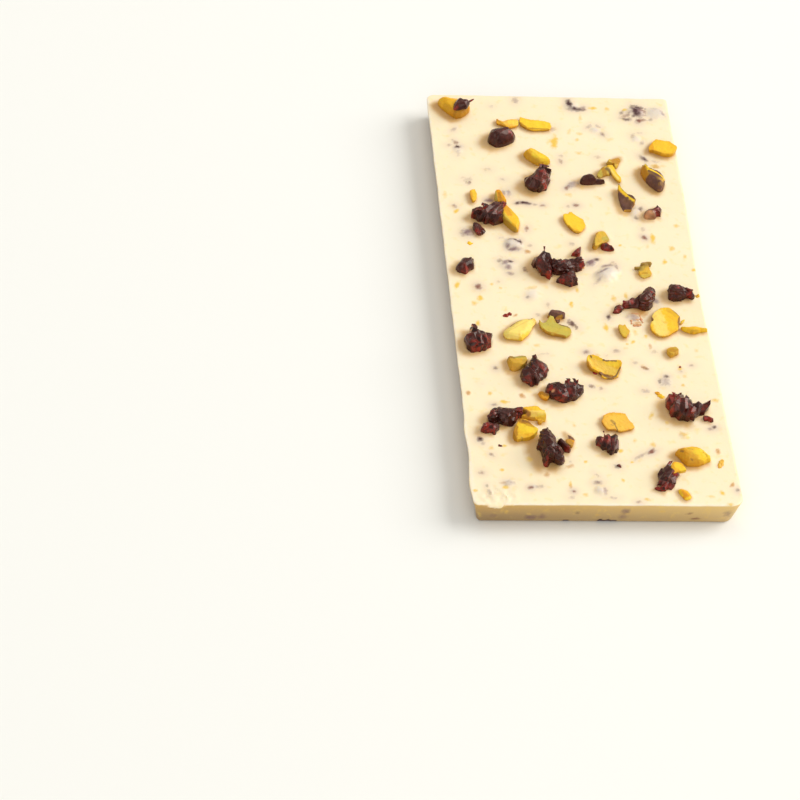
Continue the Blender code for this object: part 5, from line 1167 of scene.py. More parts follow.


# Where the pieces sank in, the soft chocolate rose a little against them before it set. Around each piece a
# painted shade of gold or amber darkens the face, most on the side away from the window. Others drowned in
# it: grey-violet berries, brown skins and tan nuts that show through a film, the larger ones as white lumps.

# kind: (x, y, length, breadth, turn in degrees, strength) of each mark on the face
MARKS = {
    "berry": (
        (-9.5, 80.5, 3.2, 1.8, 80, 0.49), (-28.6, 56.5, 3.5, 1.6, 90, 0.29), (-29, 66.8, 2.6, 1, 60, 0.45),
        (-17, 77.5, 2, 1.4, 0, 0.26), (-20.5, 49.5, 3, 2, 0, 0.32), (10.3, 77.3, 2.2, 1.4, 60, 0.72),
        (32.2, 77.4, 3.4, 1, -10, 0.29), (33.8, 75.4, 2.6, 1, -60, 0.59), (31.4, 76.6, 2.4, 0.8, 60, 0.23),
        (11.2, 69.2, 3.2, 1.2, 45, 0.4), (14.8, 66, 2, 1, -50, 0.73), (14, 69.2, 2.4, 0.7, -50, 0.5),
        (0.4, 67.8, 2.4, 1.6, 60, 0.46), (23.7, 65.4, 2.6, 1.2, 80, 0.44),
        (26.2, 62.4, 2.2, 1.2, 80, 0.41), (26, 66.8, 2, 1, 0, 0.34), (28.8, 54.2, 3.4, 1, -10, 0.36),
        (1.5, 56, 2, 1.4, 0, 0.3), (-26.8, 45, 4, 3, 0, 0.35), (-16.6, 45.5, 1.6, 1.2, 0, 0.34),
        (-15.3, 39.4, 0.9, 3, 0, 0.63), (-16.9, 39.4, 0.9, 2.6, 0, 0.49), (-21.4, 36.2, 2.2, 1.4, 10, 1),
        (-8.4, 34.9, 3, 0.6, 0, 0.48), (-28.6, 22.6, 4, 3, 20, 0.85), (-16, 15.9, 4, 0.8, 5, 0.94),
        (-17.8, 16.6, 1, 2, 0, 0.81), (-19.2, 20.6, 2, 1, 0, 0.34), (-19, 10.2, 2.8, 1.4, 40, 0.72),
        (-18.4, 8.2, 1.6, 1.6, 0, 0.78), (-19.5, 12.8, 2.4, 1.2, 0, 0.21), (-18, 6, 1.8, 1.4, 0, 0.68),
        (3.6, 43.6, 5, 2.4, 40, 0.51), (20.8, 32, 3.6, 4, 0, 0.14), (22, 25, 1.4, 2.6, 0, 0.34),
        (0.7, 18.5, 1.6, 1.6, 0, 0.44), (5.4, 10.6, 3.4, 2, 40, 1), (10, 9.6, 4.6, 0.8, 15, 0.74),
        (12.4, 8.8, 0.8, 3.4, 0, 0.68), (8.2, 6.6, 5, 0.6, 30, 0.68), (6.6, 3.2, 4.2, 1, 50, 0.41),
        (-11.8, -10.6, 1.4, 1.6, 0, 0.37), (-12.4, -26.2, 3.6, 0.7, 15, 0.3),
        (0.2, -25.2, 1.8, 1.2, 0, 0.81), (8.6, -24.6, 2.4, 1.4, 0, 0.48), (19.2, -24.6, 1.8, 1.8, 0, 0.34),
        (13.3, -29.2, 1.6, 1.2, 0, 0.39), (20.8, -36.4, 3.4, 4.4, 0, 0.44), (22, -4.6, 1.2, 2.4, 0, 0.68),
        (-30.3, -37.6, 1.4, 1.2, 0, 0.15), (-27.4, -45.8, 1.4, 0.7, 0, 0.66),
        (-31.6, -60.4, 1.4, 1.4, 0, 0.4), (-29.7, -64.4, 1.8, 1, -50, 0.45), (-8.9, -66.8, 1, 1, 0, 0.23),
        (-26, -74.8, 4, 2.6, 0, 0.38), (-31.4, -77.8, 1.2, 2, 0, 0.41), (-18, -76, 3, 1.6, 0, 0.41),
        (-9.8, -79.8, 2.4, 1.8, 0, 0.29), (-2.2, -74.4, 2.4, 1.2, 10, 0.64),
        (-3.2, -77.6, 0.9, 3, 0, 0.17), (-0.6, -77.6, 0.9, 3, 0, 0.61), (14.8, -40, 2.6, 1.4, 0, 0.49),
        (31, -54.2, 1.6, 1, 0, 0.62), (12.2, -63.6, 4, 1.2, 40, 0.29), (9.6, -65.6, 4.4, 0.9, 28, 0.19),
        (1.6, -79.9, 3, 1, 0, 0.34), (26.5, -26.2, 2, 0.7, 0, 0.09), (26.5, -28.9, 2, 0.7, 0, 0.08),
        (26.1, 75, 3.6, 5.4, -15, 0.41), (26.4, 76.2, 4.4, 5, 0, 0.9), (10.9, -64.3, 6.5, 1, 35, 0.45),
    ),
    "dark": (
        (-28.4, 59.2, 1.6, 1.2, 0, 1), (6.3, 79.2, 4.6, 1.5, 95, 0.98), (8, 76.9, 4.5, 1.6, -5, 0.85),
        (25.6, 76, 6.4, 1.7, -80, 0.89), (22.8, 72.8, 3.6, 1.2, -10, 0.68), (21.6, 75.5, 2.4, 1, 60, 0.52),
        (30, 72.8, 1.2, 1, 0, 0.48), (25.8, 55.4, 3.4, 1.1, -50, 0.88), (-13.2, 35.3, 1.6, 1, 0, 0.81),
        (-11, 35.4, 3.6, 0.9, -8, 1), (-15.4, 19, 3, 0.5, -50, 1), (-14, 18.8, 0.6, 2.6, 0, 1),
        (-16.8, 19.8, 1.6, 0.6, 20, 0.61), (-20.6, 11.2, 1.4, 1.6, 0, 0.52),
        (-17.6, 10.6, 1.6, 0.8, 40, 1), (-13.6, 7.6, 1.4, 2.6, 20, 0.43), (20.6, 29.6, 1.4, 1, 0, 0.58),
        (22.2, 33.4, 1, 2.6, -20, 0.74), (7.1, 12, 1.4, 1.4, 0, 0.86), (-14, -3.7, 0.9, 1, 0, 0.62),
        (-2.6, -14.2, 4, 1.5, -55, 0.71), (-25.6, -31.8, 1, 1.2, 0, 0.69),
        (15.8, -31.2, 2.6, 1, -35, 0.47), (21.2, -34.3, 1.6, 1, 0, 0.74), (19.1, -36.6, 0.7, 3.4, 0, 0.48),
        (0.2, -38.4, 1.8, 1.4, -40, 0.35), (-32.3, -58.8, 1.6, 2, 0, 0.86),
        (-31.9, -75.8, 0.7, 1.2, 0, 0.46), (31.9, -53.6, 1.2, 1, 0, 0.9), (3.9, -68.4, 1.8, 1.8, 0, 0.62),
        (7.9, -11.2, 1.1, 2.2, 0, 0.8), (35.2, -76.8, 0.9, 1.2, 0, 0.71), (-26.6, 43.8, 2, 1.6, 0, 0.32),
        (-2.2, -74.4, 1.6, 0.7, 10, 0.43), (26.6, 78, 3.4, 2, -20, 0.8), (26, 74.7, 3.6, 1.2, 30, 0.7),
    ),
    "rust": (
        (-29, 61.2, 2.4, 1.2, -60, 0.61), (-31, 60, 1.6, 1, 0, 0.42), (6.8, 81.3, 1.2, 1, 0, 0.26),
        (26.4, 72.2, 2.6, 1.6, 60, 0.85), (22.4, 74, 3.2, 2.4, 30, 0.53),
        (28.2, 76.2, 2.6, 1.6, -70, 0.59), (12.3, 55.8, 2, 1.4, 0, 0.34), (1.2, 53.6, 0.9, 2, 0, 0.59),
        (-31.4, 33.6, 1.8, 0.9, -60, 0.59), (-6, 34.6, 1.6, 0.7, 0, 0.68),
        (-11.6, 24.6, 1, 2.2, -20, 0.67), (-11.4, 17.6, 1.2, 1.4, 0, 0.41),
        (1.7, 42.1, 1.8, 0.9, 50, 0.71), (3.6, 34.8, 1.8, 1.2, 0, 0.82), (1.4, 34.4, 1.4, 1.2, 0, 0.42),
        (-26.6, 43.8, 2, 1.6, 0, 0.4), (-27.6, 0.4, 1.8, 2.4, 0, 0.88), (-21.6, 2.6, 1.2, 1.2, 0, 0.26),
        (-8.6, -6.6, 1, 2, 0, 0.42), (-10.8, -26, 1, 0.7, 0, 0.29), (-2.6, -14.2, 4, 1.5, -55, 0.71),
        (-13.6, 7.6, 1.4, 2.6, 20, 0.3), (15, -11.4, 2.8, 4.4, 60, 0.52), (5.6, -26.4, 0.8, 0.6, 0, 0.26),
        (2.7, -39.2, 0.8, 1, 0, 0.51), (0.2, -38.4, 1.8, 1.4, -40, 0.52), (-32.8, -71, 1.8, 1.4, 0, 0.55),
        (-2, -71.8, 2.4, 0.5, -50, 0.37), (13.6, -62.7, 3, 0.7, 40, 0.45),
        (-29.7, -64.4, 1.4, 0.7, -50, 0.32), (19.1, -36.6, 0.7, 3.4, 0, 0.27),
        (-20.3, -76.4, 1.4, 0.9, 20, 0.87), (25.6, -32.2, 0.8, 0.7, 0, 0.46),
        (21.9, 21.6, 1.1, 1.9, 30, 1), (28.8, -29.9, 0.9, 0.5, 0, 0.52), (11.6, 11, 1.3, 1, 0, 0.39),
        (-9, -77.6, 0.8, 0.9, 0, 0.9), (8, -81.4, 1.5, 0.7, 0, 0.53), (22.4, 73.9, 2.6, 2.6, 0, 0.31),
        (13.8, -63.1, 3, 0.5, 30, 0.88), (15.4, -11.2, 2, 1.2, 0, 0.43), (13.6, -62.8, 2.8, 0.6, 50, 0.9),
        (27.4, 72.5, 2.6, 1.2, 0, 0.6),
    ),
    "nut": (
        (17.4, 77.2, 1.2, 1.4, 0, 0.84), (8, 66, 1.6, 1.2, 0, 0.66), (7, 63.2, 1.4, 1.2, 0, 0.69),
        (9, 73, 3, 0.9, 85, 0.59), (5.2, 67, 3, 1, 70, 0.51), (7, 57.4, 2, 1.4, 0, 0.68),
        (16.8, 63.6, 3.4, 1.2, 40, 0.41), (-33.8, 38.5, 1.2, 3, 0, 0.59), (-9, 24.4, 1, 0.8, 0, 0.29),
        (6.3, 42.4, 1, 2, 0, 0.56), (2, 39.3, 2, 1.5, 0, 0.59), (10.9, 37.8, 1.6, 1.6, 0, 0.57),
        (17.6, 30.6, 1.6, 1, 0, 0.41), (31.8, 26.8, 1.6, 1.4, 0, 0.82), (22.4, 18, 1, 2, 0, 0.51),
        (32.7, 14, 0.8, 1.4, 0, 0.77), (-29.3, -6.4, 1.4, 1.8, 0, 0.85), (-21.4, 0, 0.8, 0.8, 0, 0.85),
        (-23.8, 1.5, 0.8, 0.8, 0, 0.85), (-12.6, 0.2, 3.4, 1.4, 15, 0.58),
        (-20.6, -8.8, 1.2, 1.2, 0, 0.59), (-13.4, -22.7, 2.2, 1.4, 0, 0.59), (-32, -32, 1.6, 0.8, 0, 0.59),
        (-7.4, -31.8, 0.5, 0.8, 0, 0.59), (10.2, -3.8, 1.2, 2.6, 0, 0.87), (13.8, -2.4, 0.9, 3.2, 0, 0.83),
        (14.7, -17, 1, 3, 0, 0.59), (11.4, -23.4, 1.4, 0.8, 0, 0.51), (3.3, -26.3, 1.2, 1.2, 0, 0.59),
        (31, -24, 1, 1.6, 0, 0.59), (26.4, -34.2, 1.2, 1.2, 0, 0.61), (25.4, -37.6, 0.8, 1, 0, 0.81),
        (0.2, -0.6, 0.8, 2, 0, 0.85), (-28, -41.6, 1.2, 1.6, 0, 0.81), (-6.2, -53.4, 0.8, 1, 0, 0.64),
        (-29.4, -62, 1.2, 1.2, 0, 0.77), (-19.8, -66, 1.6, 1.6, 0, 0.85), (-6, -78.9, 1.4, 1.6, 0, 0.72),
        (19.2, -52, 0.9, 1.8, 0, 0.64), (9.6, -58.8, 1, 1.6, 0, 0.67), (14.4, -60.2, 1.4, 2, 0, 0.85),
        (27.6, -79.2, 2.6, 1, 0, 0.59), (10.4, -80.4, 2, 0.8, -20, 0.8), (15.2, -49.4, 3, 1.2, 60, 0.85),
        (-32.6, -62.8, 2.2, 0.8, 40, 0.1), (33.6, -43.4, 1.8, 1.4, 0, 0.85),
        (29.2, 17.2, 1.6, 2.2, 0, 0.85), (-9.6, -75.2, 0.6, 2.4, 0, 0.85), (32.6, -82, 2.4, 1, 0, 0.68),
        (23.3, -56.8, 2.6, 2.4, 0, 0.85),
    ),
    "pale": (
        (31.8, 75.8, 6, 5.4, 0, 1), (12.8, 67.6, 2.4, 1.8, 0, 0.85), (-16.1, 18.2, 5, 5, 0, 1),
        (-16.1, 39.4, 1.2, 1.6, 0, 1), (9.5, 6, 7.5, 4.5, 40, 1), (3.6, 43.6, 4, 1.6, 40, 0.85),
        (-12.4, -2, 4.5, 5, 0, 0.36), (-28.6, 22.6, 1.6, 1, 20, 0.57), (-19.3, -75.9, 1, 0.8, 0, 1),
        (-1.9, -77.6, 1.4, 2, 0, 1), (23.3, -56.8, 1, 1, 0, 1), (15, -11.4, 1.2, 2.4, 60, 0.78),
        (26.5, -27.5, 2, 2, 0, 0.08), (22, -4.6, 1, 1.6, 0, 0.85), (-32.4, -63.4, 1.6, 0.6, 40, 0.15),
        (28.8, 73, 2.4, 1.6, 0, 0.18), (-18.6, 9.2, 0.9, 0.7, 0, 1), (24.6, 64, 2.2, 2, 0, 0.51),
        (21, 34.1, 2.4, 3, 0, 0.7),
    ),
    "tan": (
        (-12.2, 15, 1.7, 1.4, 0, 1), (-19.3, -42.3, 2, 1.2, -50, 1), (-34, -41.3, 1, 1.4, 0, 1),
        (31.8, -62.7, 1.2, 1.8, 0, 1), (33.9, -75, 0.8, 1.6, -30, 1), (-18.2, -11, 1.4, 0.5, 40, 1),
        (31.6, -43.2, 0.7, 0.7, 0, 0.15), (-15.6, -71.6, 1.3, 2.2, 0, 0.77),
        (-9, -68.5, 2.6, 1.2, 20, 0.64), (-27.6, -74.8, 2, 0.5, 0, 0.67), (-9.6, -76, 0.6, 1.2, 0, 0.75),
        (18.2, -22.4, 0.6, 2.4, 0, 0.77), (17.4, -8.6, 3.2, 4.6, 20, 1), (15.6, -31, 2.4, 0.8, -35, 0.85),
        (15.6, -13.4, 3, 0.7, 8, 0.85), (29, 51.9, 2.6, 2, 0, 0.6),
    ),
    "gilt": (
        (0.2, 62, 6.4, 1.9, 78, 1), (24.3, 21.2, 1.2, 4.2, 0, 1), (-2, -6.4, 0.9, 2.4, 0, 1),
        (6.7, -15.4, 1.1, 3.4, 0, 0.92), (-24.4, -44.6, 3.2, 0.9, -8, 0.92), (-27.4, -69.9, 0.9, 1, 0, 1),
        (4.7, -73.5, 0.7, 0.8, 0, 1), (13.2, 77.6, 2.4, 1.2, 0, 1), (-27.4, -4.2, 1.6, 2.2, 10, 1),
        (5.3, -62.6, 1.1, 1.5, 0, 0.88), (25.3, -30.2, 0.9, 0.9, 0, 0.48),
        (-4.5, -66.8, 1.2, 0.7, 40, 0.82), (22.8, 77, 1.8, 1.1, 0, 0.8), (28.8, 52.2, 2.8, 1.8, 0, 0.7),
        (-31.2, 31.6, 2.6, 0.9, 55, 0.94), (14.5, 18.1, 0.8, 0.8, 0, 0.92), (34.6, 8.4, 1.4, 1, 0, 0.99),
        (26.5, 11.6, 1, 2, -20, 1), (-28.8, -14.4, 1.1, 2.4, 0, 0.78), (17.7, -18.6, 1, 1.2, 0, 0.88),
        (13.6, -20.9, 1.6, 0.7, 50, 0.85), (11.9, -21.8, 0.7, 0.5, 0, 1), (-25.9, -61.2, 1.2, 0.8, 0, 1),
        (-27, -76.4, 2, 0.9, 0, 0.87), (-35.2, -77.6, 1.2, 0.8, 0, 1), (7.9, -66.8, 0.8, 0.5, 0, 1),
        (30.9, -77.8, 0.9, 1.8, 20, 0.99), (-33.4, 1, 1.1, 3.2, -25, 1), (25.4, -31.3, 1, 0.9, 0, 1),
        (22.6, -55.8, 0.7, 1.4, 30, 0.17), (24.2, -57.6, 0.7, 1.2, 20, 0.63),
        (-1.2, 62.5, 3.2, 2.6, 60, 0.42), (31, 52.4, 3, 1.6, 0, 0.34),
    ),
}
# how far the chocolate stands up over each kind of mark
MARK_RISE = {"berry": 0.16, "dark": 0.14, "rust": 0.10, "nut": 0.05, "pale": 0.12, "gilt": 0.06, "tan": 0.10}
# how far a mark's colour reaches past its own outline, and the grey halo of a berry or skin
MARK_EDGE, HALO_EDGE = 0.25, 1.1
# the low rise against each piece that sank in, how far it reaches, and the side that its shade is on
MENISCUS, MENISCUS_REACH = 0.2, 0.6
WINDOW_WAY = radians(22.0)
# (x, y, length, breadth, turn, height) of the white lumps
LUMPS = (
    (9.5, 6, 8.5, 5.5, 40, 1.3), (-16, 18, 5.4, 5, 0, 1), (25.8, 76, 6.5, 4, 0, 0.8),
    (31.8, 75.8, 6, 5.4, 0, 0.7), (7, 78, 4.5, 4, 0, 0.5), (-12.4, -2, 4.6, 5, 0, 0.3),
    (-18.5, 9.5, 5, 5, 0, 0.5), (5.4, 10.6, 4, 2.6, 40, 0.5), (-28.6, 22.6, 4.4, 3.2, 20, 0.4),
    (3.6, 43.6, 5, 2.8, 40, 0.4), (20.8, 32, 4, 4.4, 0, 0.7), (-1.9, -77.3, 3.2, 3.4, 0, 0.6),
    (20.8, -36.4, 4, 4.6, 0, 0.25), (12.8, 67.5, 3.4, 3, 0, 0.4), (24.6, 64, 3, 3, 0, 0.3),
    (-26, -74.8, 4, 2.8, 0, 0.35), (15, -11.4, 3.2, 4.6, 60, 0.5), (-15.9, 39.4, 2.6, 3, 0, 0.4),
    (23.3, -56.8, 3, 2.8, 0, 0.4), (-28.4, 58, 3, 4, 0, 0.3),
)
# (kind, x, height up the near wall, length, breadth, strength) of its marks; the darkest four are painted
# shade: dark spots put in the bubbles at its foot
WALL_MARKS = (
    ("berry", -20.4, 1.8, 3.4, 2.0, 0.7), ("berry", -17.4, 2.2, 2.4, 2.0, 0.6),
    ("dark", -8.0, 3.9, 1.6, 1.0, 0.4), ("berry", 4.7, 4.6, 2.2, 2.6, 0.7),
    ("berry", 4.2, 2.2, 2.4, 2.0, 0.6), ("berry", 32.2, 3.9, 2.4, 2.6, 0.5),
    # painted shade in the four bubbles at the foot of the near wall
    ("dark", -10.8, 0.3, 0.7, 0.7, 3.0), ("dark", -1.5, 0.3, 1.1, 0.8, 3.0),
    ("dark", 0.3, 0.3, 1.1, 0.8, 3.0), ("dark", 2.0, 0.3, 1.0, 0.7, 3.0),
    ("rust", 21.8, 3.9, 1.6, 0.5, 0.7), ("rust", 23.8, 1.6, 2.6, 0.5, 0.8),
    ("nut", -2.6, 3.0, 1.4, 1.0, 0.5), ("nut", 14.6, 4.8, 1.6, 1.0, 0.5),
    ("nut", -27.0, 4.2, 1.2, 1.2, 0.5), ("berry", -30.5, 2.6, 2.2, 1.8, 0.4),
)
# the soft folds of the near left corner: their centre, half width and share each way, and their depth
FOLDS_X, FOLDS_Y = (-29.5, 5.0, 1.0), (-79.5, 3.2, 1.0)
FOLD_DEPTH = 0.2
# the drip that hangs over the near wall: its middle, half width and length
DRIP_X, DRIP_HALF_WIDTH, DRIP_LENGTH = -30.2, 2.2, 1.4
# all of the near wall lies nearer than this
NEAR_WALL = 2 - LENGTH / 2

points = read_points(slab)
x, y, z = points.T
face = z > THICKNESS - 0.5 * RIM_RADIUS
ragged = noise_at(points, 1.1, 71)
frayed = 0.8 * ragged + 0.5 * noise_at(points, 0.5, 72)
rise = np.zeros(len(points))
painted_shade = {"golden": np.zeros(len(points)), "amber": np.zeros(len(points))}
for name, (base, height, outline) in outlines.items():
    if base > 0:
        continue
    xs = [p[0] for p in outline]
    ys = [p[1] for p in outline]
    here = np.nonzero(face & (x > min(xs) - 4) & (x < max(xs) + 4)
                      & (y > min(ys) - 4) & (y < max(ys) + 4))[0]
    against = np.exp(-((distance_to(outline, points[here]) / MENISCUS_REACH) ** 2))
    rise[here] = np.maximum(rise[here], MENISCUS * against)
    # painted shade: a tall piece colours a wider strip, and more of it on the side away from the window
    shift = 0.4 * height * np.array((cos(WINDOW_WAY), sin(WINDOW_WAY), 0.0))
    away = np.maximum(distance_to(outline, points[here] + shift) + 0.15 * ragged[here], 0)
    away[within(outline, points[here] + shift)] = 0
    shade_depth = min(1, 0.5 + 0.1 * height) * np.exp(-((away / (0.4 + 0.22 * height)) ** 2))
    colour = painted_shade["amber" if "cranberry" in name else "golden"]
    colour[here] = np.maximum(colour[here], shade_depth)
for kind, values in painted_shade.items():
    store(slab, kind, values)


def over_marks(rows, edge):
    """For each mark its strength and how far in it every vertex of the face is, 1 being its middle."""
    for x0, y0, length, breadth, turn, strength in rows:
        here = np.nonzero(face & (np.abs(x - x0) + np.abs(y - y0) < 1.4 * (length + breadth) + 2 * edge))[0]
        c, s = cos(radians(turn)), sin(radians(turn))
        along = (x[here] - x0) * c + (y[here] - y0) * s
        across = (y[here] - y0) * c - (x[here] - x0) * s
        away = np.hypot(along / (length / 2 + edge), across / (breadth / 2 + edge))
        yield here, strength, away


bulge = np.zeros(len(points))
halo = np.zeros(len(points))
for kind, rows in MARKS.items():
    field = np.zeros(len(points))
    for here, strength, away in over_marks(rows, MARK_EDGE):
        away = away + 0.5 * frayed[here]
        field[here] = np.maximum(field[here], strength * np.clip(1.25 - away, 0, 1))
        bulge[here] = np.maximum(bulge[here], MARK_RISE[kind] * strength * np.clip(1.3 - away, 0, 1))
    if kind in ("berry", "dark", "rust"):
        for here, strength, away in over_marks(rows, HALO_EDGE):
            halo[here] = np.maximum(halo[here], strength * np.exp(-(away ** 2)))
    for wall_kind, x0, z0, length, breadth, strength in WALL_MARKS:
        if wall_kind == kind:
            away = np.hypot((x - x0) / (length / 2 + 0.3), (z - z0) / (breadth / 2 + 0.3)) + 0.35 * ragged
            field = np.maximum(field, strength * np.clip(1.3 - away, 0, 1) * (y < NEAR_WALL))
    store(slab, kind, field)
store(slab, "halo", halo)
facets = crumple(points, 3.0, 5)
white = np.zeros(len(points))
for here, height, away in over_marks(LUMPS, 0.0):
    away = away * (1 + 0.12 * ragged[here]) + 0.05 * facets[here]
    lump = np.clip(1.25 - away, 0, 1)
    lump = lump * lump * (3 - 2 * lump)
    bulge[here] = np.maximum(bulge[here], height * lump * (1 + 0.08 * facets[here]))
    white[here] = np.maximum(white[here], lump)
store(slab, "lump", white)
edge_away = np.minimum(WIDTH / 2 - np.abs(x), LENGTH / 2 - np.abs(y))
crest = np.exp(-((np.minimum(x + WIDTH / 2, y + LENGTH / 2) / 0.5) ** 2)) * (z > THICKNESS - 0.15)
store(slab, "crest", crest * (0.7 + 0.6 * ragged))
drip = DRIP_LENGTH * np.clip(1 - np.abs(x - DRIP_X) / DRIP_HALF_WIDTH, 0, 1) * (y < NEAR_WALL)
# where the mould shaped the chocolate, how far to the right a place is, and how low, for the painted shade on
# the walls
store(slab, "cast", np.clip((THICKNESS - 0.12 - drip - z) / 0.2, 0, 1))
store(slab, "rightward", 0.5 + x / WIDTH)
store(slab, "low", np.clip(1.5 * (1 - z / THICKNESS), 0, 1))
rise = np.maximum(rise, bulge)
in_plan = points[face] * (1, 1, 0)
rise[face] += 0.08 * noise_at(in_plan, 9.0, 3) + 0.03 * noise_at(in_plan, 3.0, 8)
# soft folds where the last of the chocolate was drawn off over the near left corner
folds = swell(x, *FOLDS_X) * swell(y, *FOLDS_Y) * (1 + 1.2 * noise_at(points, 2.6, 61))
broad = np.sin(2.2 * (x + 0.4 * y) + 3.0 * noise_at(points, 2.0, 62))
narrow = np.sin(4.6 * (x + 0.7 * y) + 3.0 * noise_at(points, 1.2, 63))
rise[face] += (folds * FOLD_DEPTH * (broad + 0.7 * narrow))[face]
points[:, 2] += rise * np.clip(edge_away / 1.5, 0, 1)
for way in (0, 1):
    points[:, way] = np.clip(points[:, way], cad_box[0][way] / MM + 0.02, cad_box[1][way] / MM - 0.02)
write_points(slab, points)

# white chocolate: cocoa butter, milk and sugar, cream coloured and satin, a little clear under its skin
chocolate = new_material("white chocolate")
place = add_node(chocolate, "ShaderNodeTexCoord").outputs["Object"]
# clouds of tone 11 mm across, kernel dust, the smears that fray a mark's edge, and the grain of the set
# face, which is really finer and is drawn as coarse as it shows
cloud, dust, smear, pores = (
    add_node(chocolate, "ShaderNodeTexNoise", {"Scale": noise_scale(size), "Detail": detail},
             {"Vector": place})
    for size, detail in ((11.11, 3.0), (2.3256, 3.0), (0.7692, 3.0), (0.6667, 4.0)))
cream = add_node(chocolate, "ShaderNodeMixRGB", {1: linear("fae9c6"), 2: linear("f8e5bd")},
                 {0: cloud.outputs["Fac"]})
cast, low, rightward = (add_node(chocolate, "ShaderNodeAttribute", {"attribute_name": name})
                        for name in ("cast", "low", "rightward"))
# the walls cast against the mould are more golden than the face; over that, painted shade makes them darker
# towards the left end and darker and greyer towards the foot
upper_wall_shaded_left = add_node(chocolate, "ShaderNodeMixRGB", {1: linear("d2a658"), 2: linear("ecc97e")},
                       {0: rightward.outputs["Fac"]})
foot_of_wall_shaded = add_node(chocolate, "ShaderNodeMixRGB", {1: linear("a4865c"), 2: linear("d6b67c")},
                     {0: rightward.outputs["Fac"]})
mould = add_node(chocolate, "ShaderNodeMixRGB", {},
                 {0: low.outputs["Fac"], 1: upper_wall_shaded_left.outputs[0], 2: foot_of_wall_shaded.outputs[0]})
coat = add_node(chocolate, "ShaderNodeMixRGB", {},
                {0: cast.outputs["Fac"], 1: cream.outputs[0], 2: mould.outputs[0]})
grains = add_node(chocolate, "ShaderNodeMapRange", {"From Min": 0.58, "From Max": 0.76, "To Max": 0.38},
                  {"Value": dust.outputs["Fac"]})
colour = add_node(chocolate, "ShaderNodeMixRGB", {2: linear("f6d25c")},
                  {0: grains.outputs[0], 1: coat.outputs[0]}).outputs[0]
# marks that fade out evenly, the golden and amber ones being the painted shade beside the pieces,
# then the drowned pieces, whose edges are ragged
for kind, tint, share in (("lump", "ece2d2", 0.5), ("crest", "fbf3e4", 0.7), ("halo", "bfa79e", 0.6),
                          ("golden", "c48c20", 0.95), ("amber", "cc9844", 0.8)):
    field = add_node(chocolate, "ShaderNodeAttribute", {"attribute_name": kind})
    amount = add_node(chocolate, "ShaderNodeMath", {"operation": "MULTIPLY", 1: share},
                      {0: field.outputs["Fac"]})
    stained = add_node(chocolate, "ShaderNodeMixRGB", {2: linear(tint)}, {0: amount.outputs[0], 1: colour})
    colour = stained.outputs[0]
for kind, tint, share in (("pale", "d8ccc0", 0.6), ("nut", "e8be4c", 0.85), ("gilt", "ecc246", 0.95),
                          ("tan", "cc9650", 0.9), ("berry", "785459", 0.85), ("rust", "7c3c26", 0.9),
                          ("dark", "46201f", 1.0)):
    field = add_node(chocolate, "ShaderNodeAttribute", {"attribute_name": kind})
    rough = add_node(chocolate, "ShaderNodeMath", {"operation": "MULTIPLY_ADD", 1: 0.5, 2: -0.25},
                     {0: smear.outputs["Fac"]})
    frayed_edge = add_node(chocolate, "ShaderNodeMath", {"operation": "ADD"},
                           {0: field.outputs["Fac"], 1: rough.outputs[0]})
    amount = add_node(chocolate, "ShaderNodeMapRange", {"From Min": 0.14, "From Max": 0.85, "To Max": share},
                      {"Value": frayed_edge.outputs[0]})
    stained = add_node(chocolate, "ShaderNodeMixRGB", {2: linear(tint)}, {0: amount.outputs[0], 1: colour})
    colour = stained.outputs[0]
pore_bump = add_node(chocolate, "ShaderNodeBump", {"Strength": 0.3, "Distance": 0.1 * MM},
                     {"Height": pores.outputs["Fac"]})
dress_shader(chocolate, {"Roughness": 0.42, "Subsurface Weight": 0.25, "Subsurface Scale": 0.9 * MM,
                         "Subsurface Radius": (1.0, 0.8, 0.4), "IOR": 1.46},
             {"Base Color": colour, "Normal": pore_bump.outputs[0]})
slab.data.materials.append(chocolate)
bpy.ops.object.select_all(action="DESELECT")
bpy.context.view_layer.objects.active = slab
slab.select_set(True)
bpy.ops.object.shade_smooth_by_angle(angle=radians(40))
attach(slab, "root")
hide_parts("slab")


# Crumbs of kernel, skin and berry that fell on the wet face with the larger pieces and lie half sunk in
# it. One is a clear curl of torn berry skin. They are part of the slab and show from a step away.

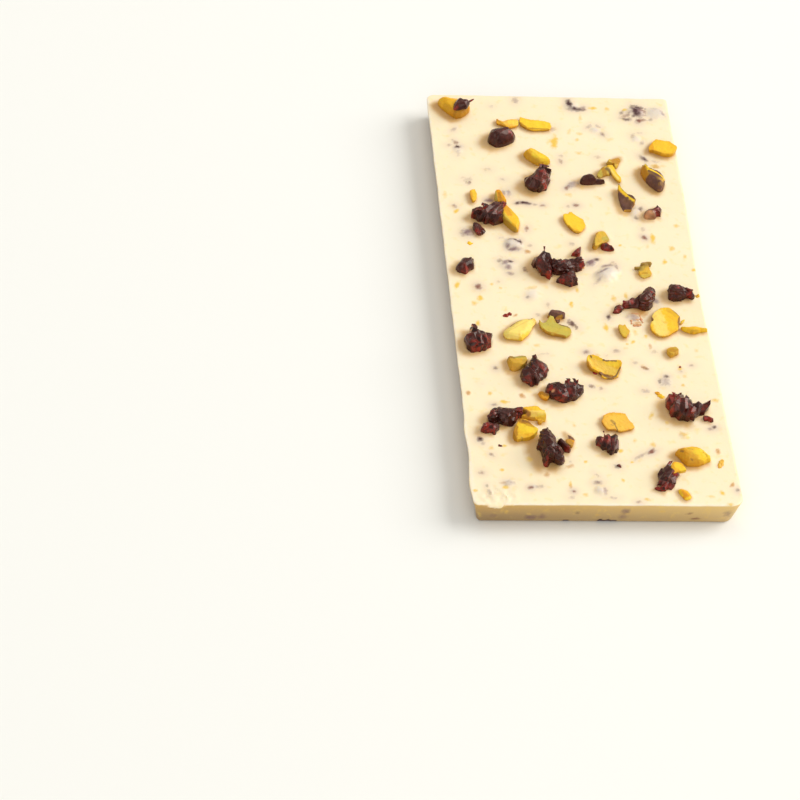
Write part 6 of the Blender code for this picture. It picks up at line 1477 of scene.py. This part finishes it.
# kind: (x, y, length, breadth, turn in degrees) of each crumb
CRUMBS = {
    "yellow": (
        (-28.4, 18.2, 1.7, 1.3, 0), (18.8, -42, 1.8, 1.6, 0),
    ),
    "orange": (
        (18, -40.8, 1.4, 1.4, 0), (2.8, 8.6, 0.9, 0.7, 0),
    ),
    "tan": (
        (31.9, -67.2, 3.4, 1.6, 70), (34, -2.2, 1.4, 1.2, 0), (-1.2, 6.3, 1.2, 0.8, 0),
        (-2.5, 3.6, 1.1, 0.7, 30),
    ),
    "brown": (
        (-27.1, -61.1, 1.3, 0.9, 0), (4.2, -68.2, 1.1, 1.2, 20),
    ),
    "red": (
        (-20.4, -10.8, 2.8, 1.4, 25), (25.4, -30.7, 0.9, 0.8, 0), (2.2, -33.2, 2.6, 1.8, -15),
    ),
    "clear": (
        (15.6, -14.2, 2.6, 1.1, 8), (14.2, -12, 3.8, 0.8, 84), (16.9, -11.8, 3.6, 0.8, -82),
        (15.5, -9.9, 2.4, 0.8, 0), (15.7, -12.2, 1.4, 1.8, 0),
    ),
}
# kind: (material, what it looks like on the material's own scales)
CRUMB_LOOKS = {
    "yellow": (nut_flesh, {"gold": 0.3}),
    # the 'side' share of these crumbs is painted shade
    "orange": (nut_flesh, {"gold": 0.9, "side": 0.2}),
    "tan": (nut_flesh, {"gold": 0.8, "side": 0.15, "pale": 0.3}),
    "red": (dried_berry, {"torn": 0.9, "ridge": 0.6}),
    "brown": (dried_berry, {"torn": 0.1, "ridge": 0.6}),
    "clear": (dried_berry, {"amber": 1.0, "ridge": 0.6}),
}
# least height of a crumb over its middle, and how far its middle lies under the face
CRUMB_RISE, CRUMB_SINK = 0.2, 0.05

for number, (kind, rows) in enumerate(CRUMBS.items()):
    material, looks = CRUMB_LOOKS[kind]
    bpy.ops.object.select_all(action="DESELECT")
    bpy.ops.mesh.primitive_ico_sphere_add(subdivisions=3, radius=MM, location=(0.0, 0.0, 0.0))
    piece = bpy.context.object
    piece.name = kind + "_crumbs"
    bpy.ops.object.mode_set(mode="EDIT")
    bpy.ops.mesh.select_all(action="SELECT")
    bpy.ops.mesh.delete(type="VERT")
    for x0, y0, length, breadth, turn in rows:
        bpy.ops.mesh.primitive_ico_sphere_add(subdivisions=4, radius=MM, rotation=(0.0, 0.0, radians(turn)),
                                              location=(x0 * MM, y0 * MM, (THICKNESS - CRUMB_SINK) * MM),
                                              scale=(length / 2, breadth / 2, CRUMB_RISE + 0.14 * breadth))
    bpy.ops.object.mode_set(mode="OBJECT")
    points = read_points(piece)
    push_out(piece, 0.20 * crumple(points, 1.1, 200 + number) + 0.16 * noise_at(points, 0.6, 210 + number))
    bpy.ops.object.shade_smooth()
    for name in NUT_LOOKS if material is nut_flesh else BERRY_LOOKS:
        spread = 0.3 * noise_at(points, 1.5, 220 + number) if name in looks else 0.0
        store(piece, name, np.full(len(points), looks.get(name, 0.0)) + spread)
    piece.data.materials.append(material)
    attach(piece, "root")
    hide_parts("slab")
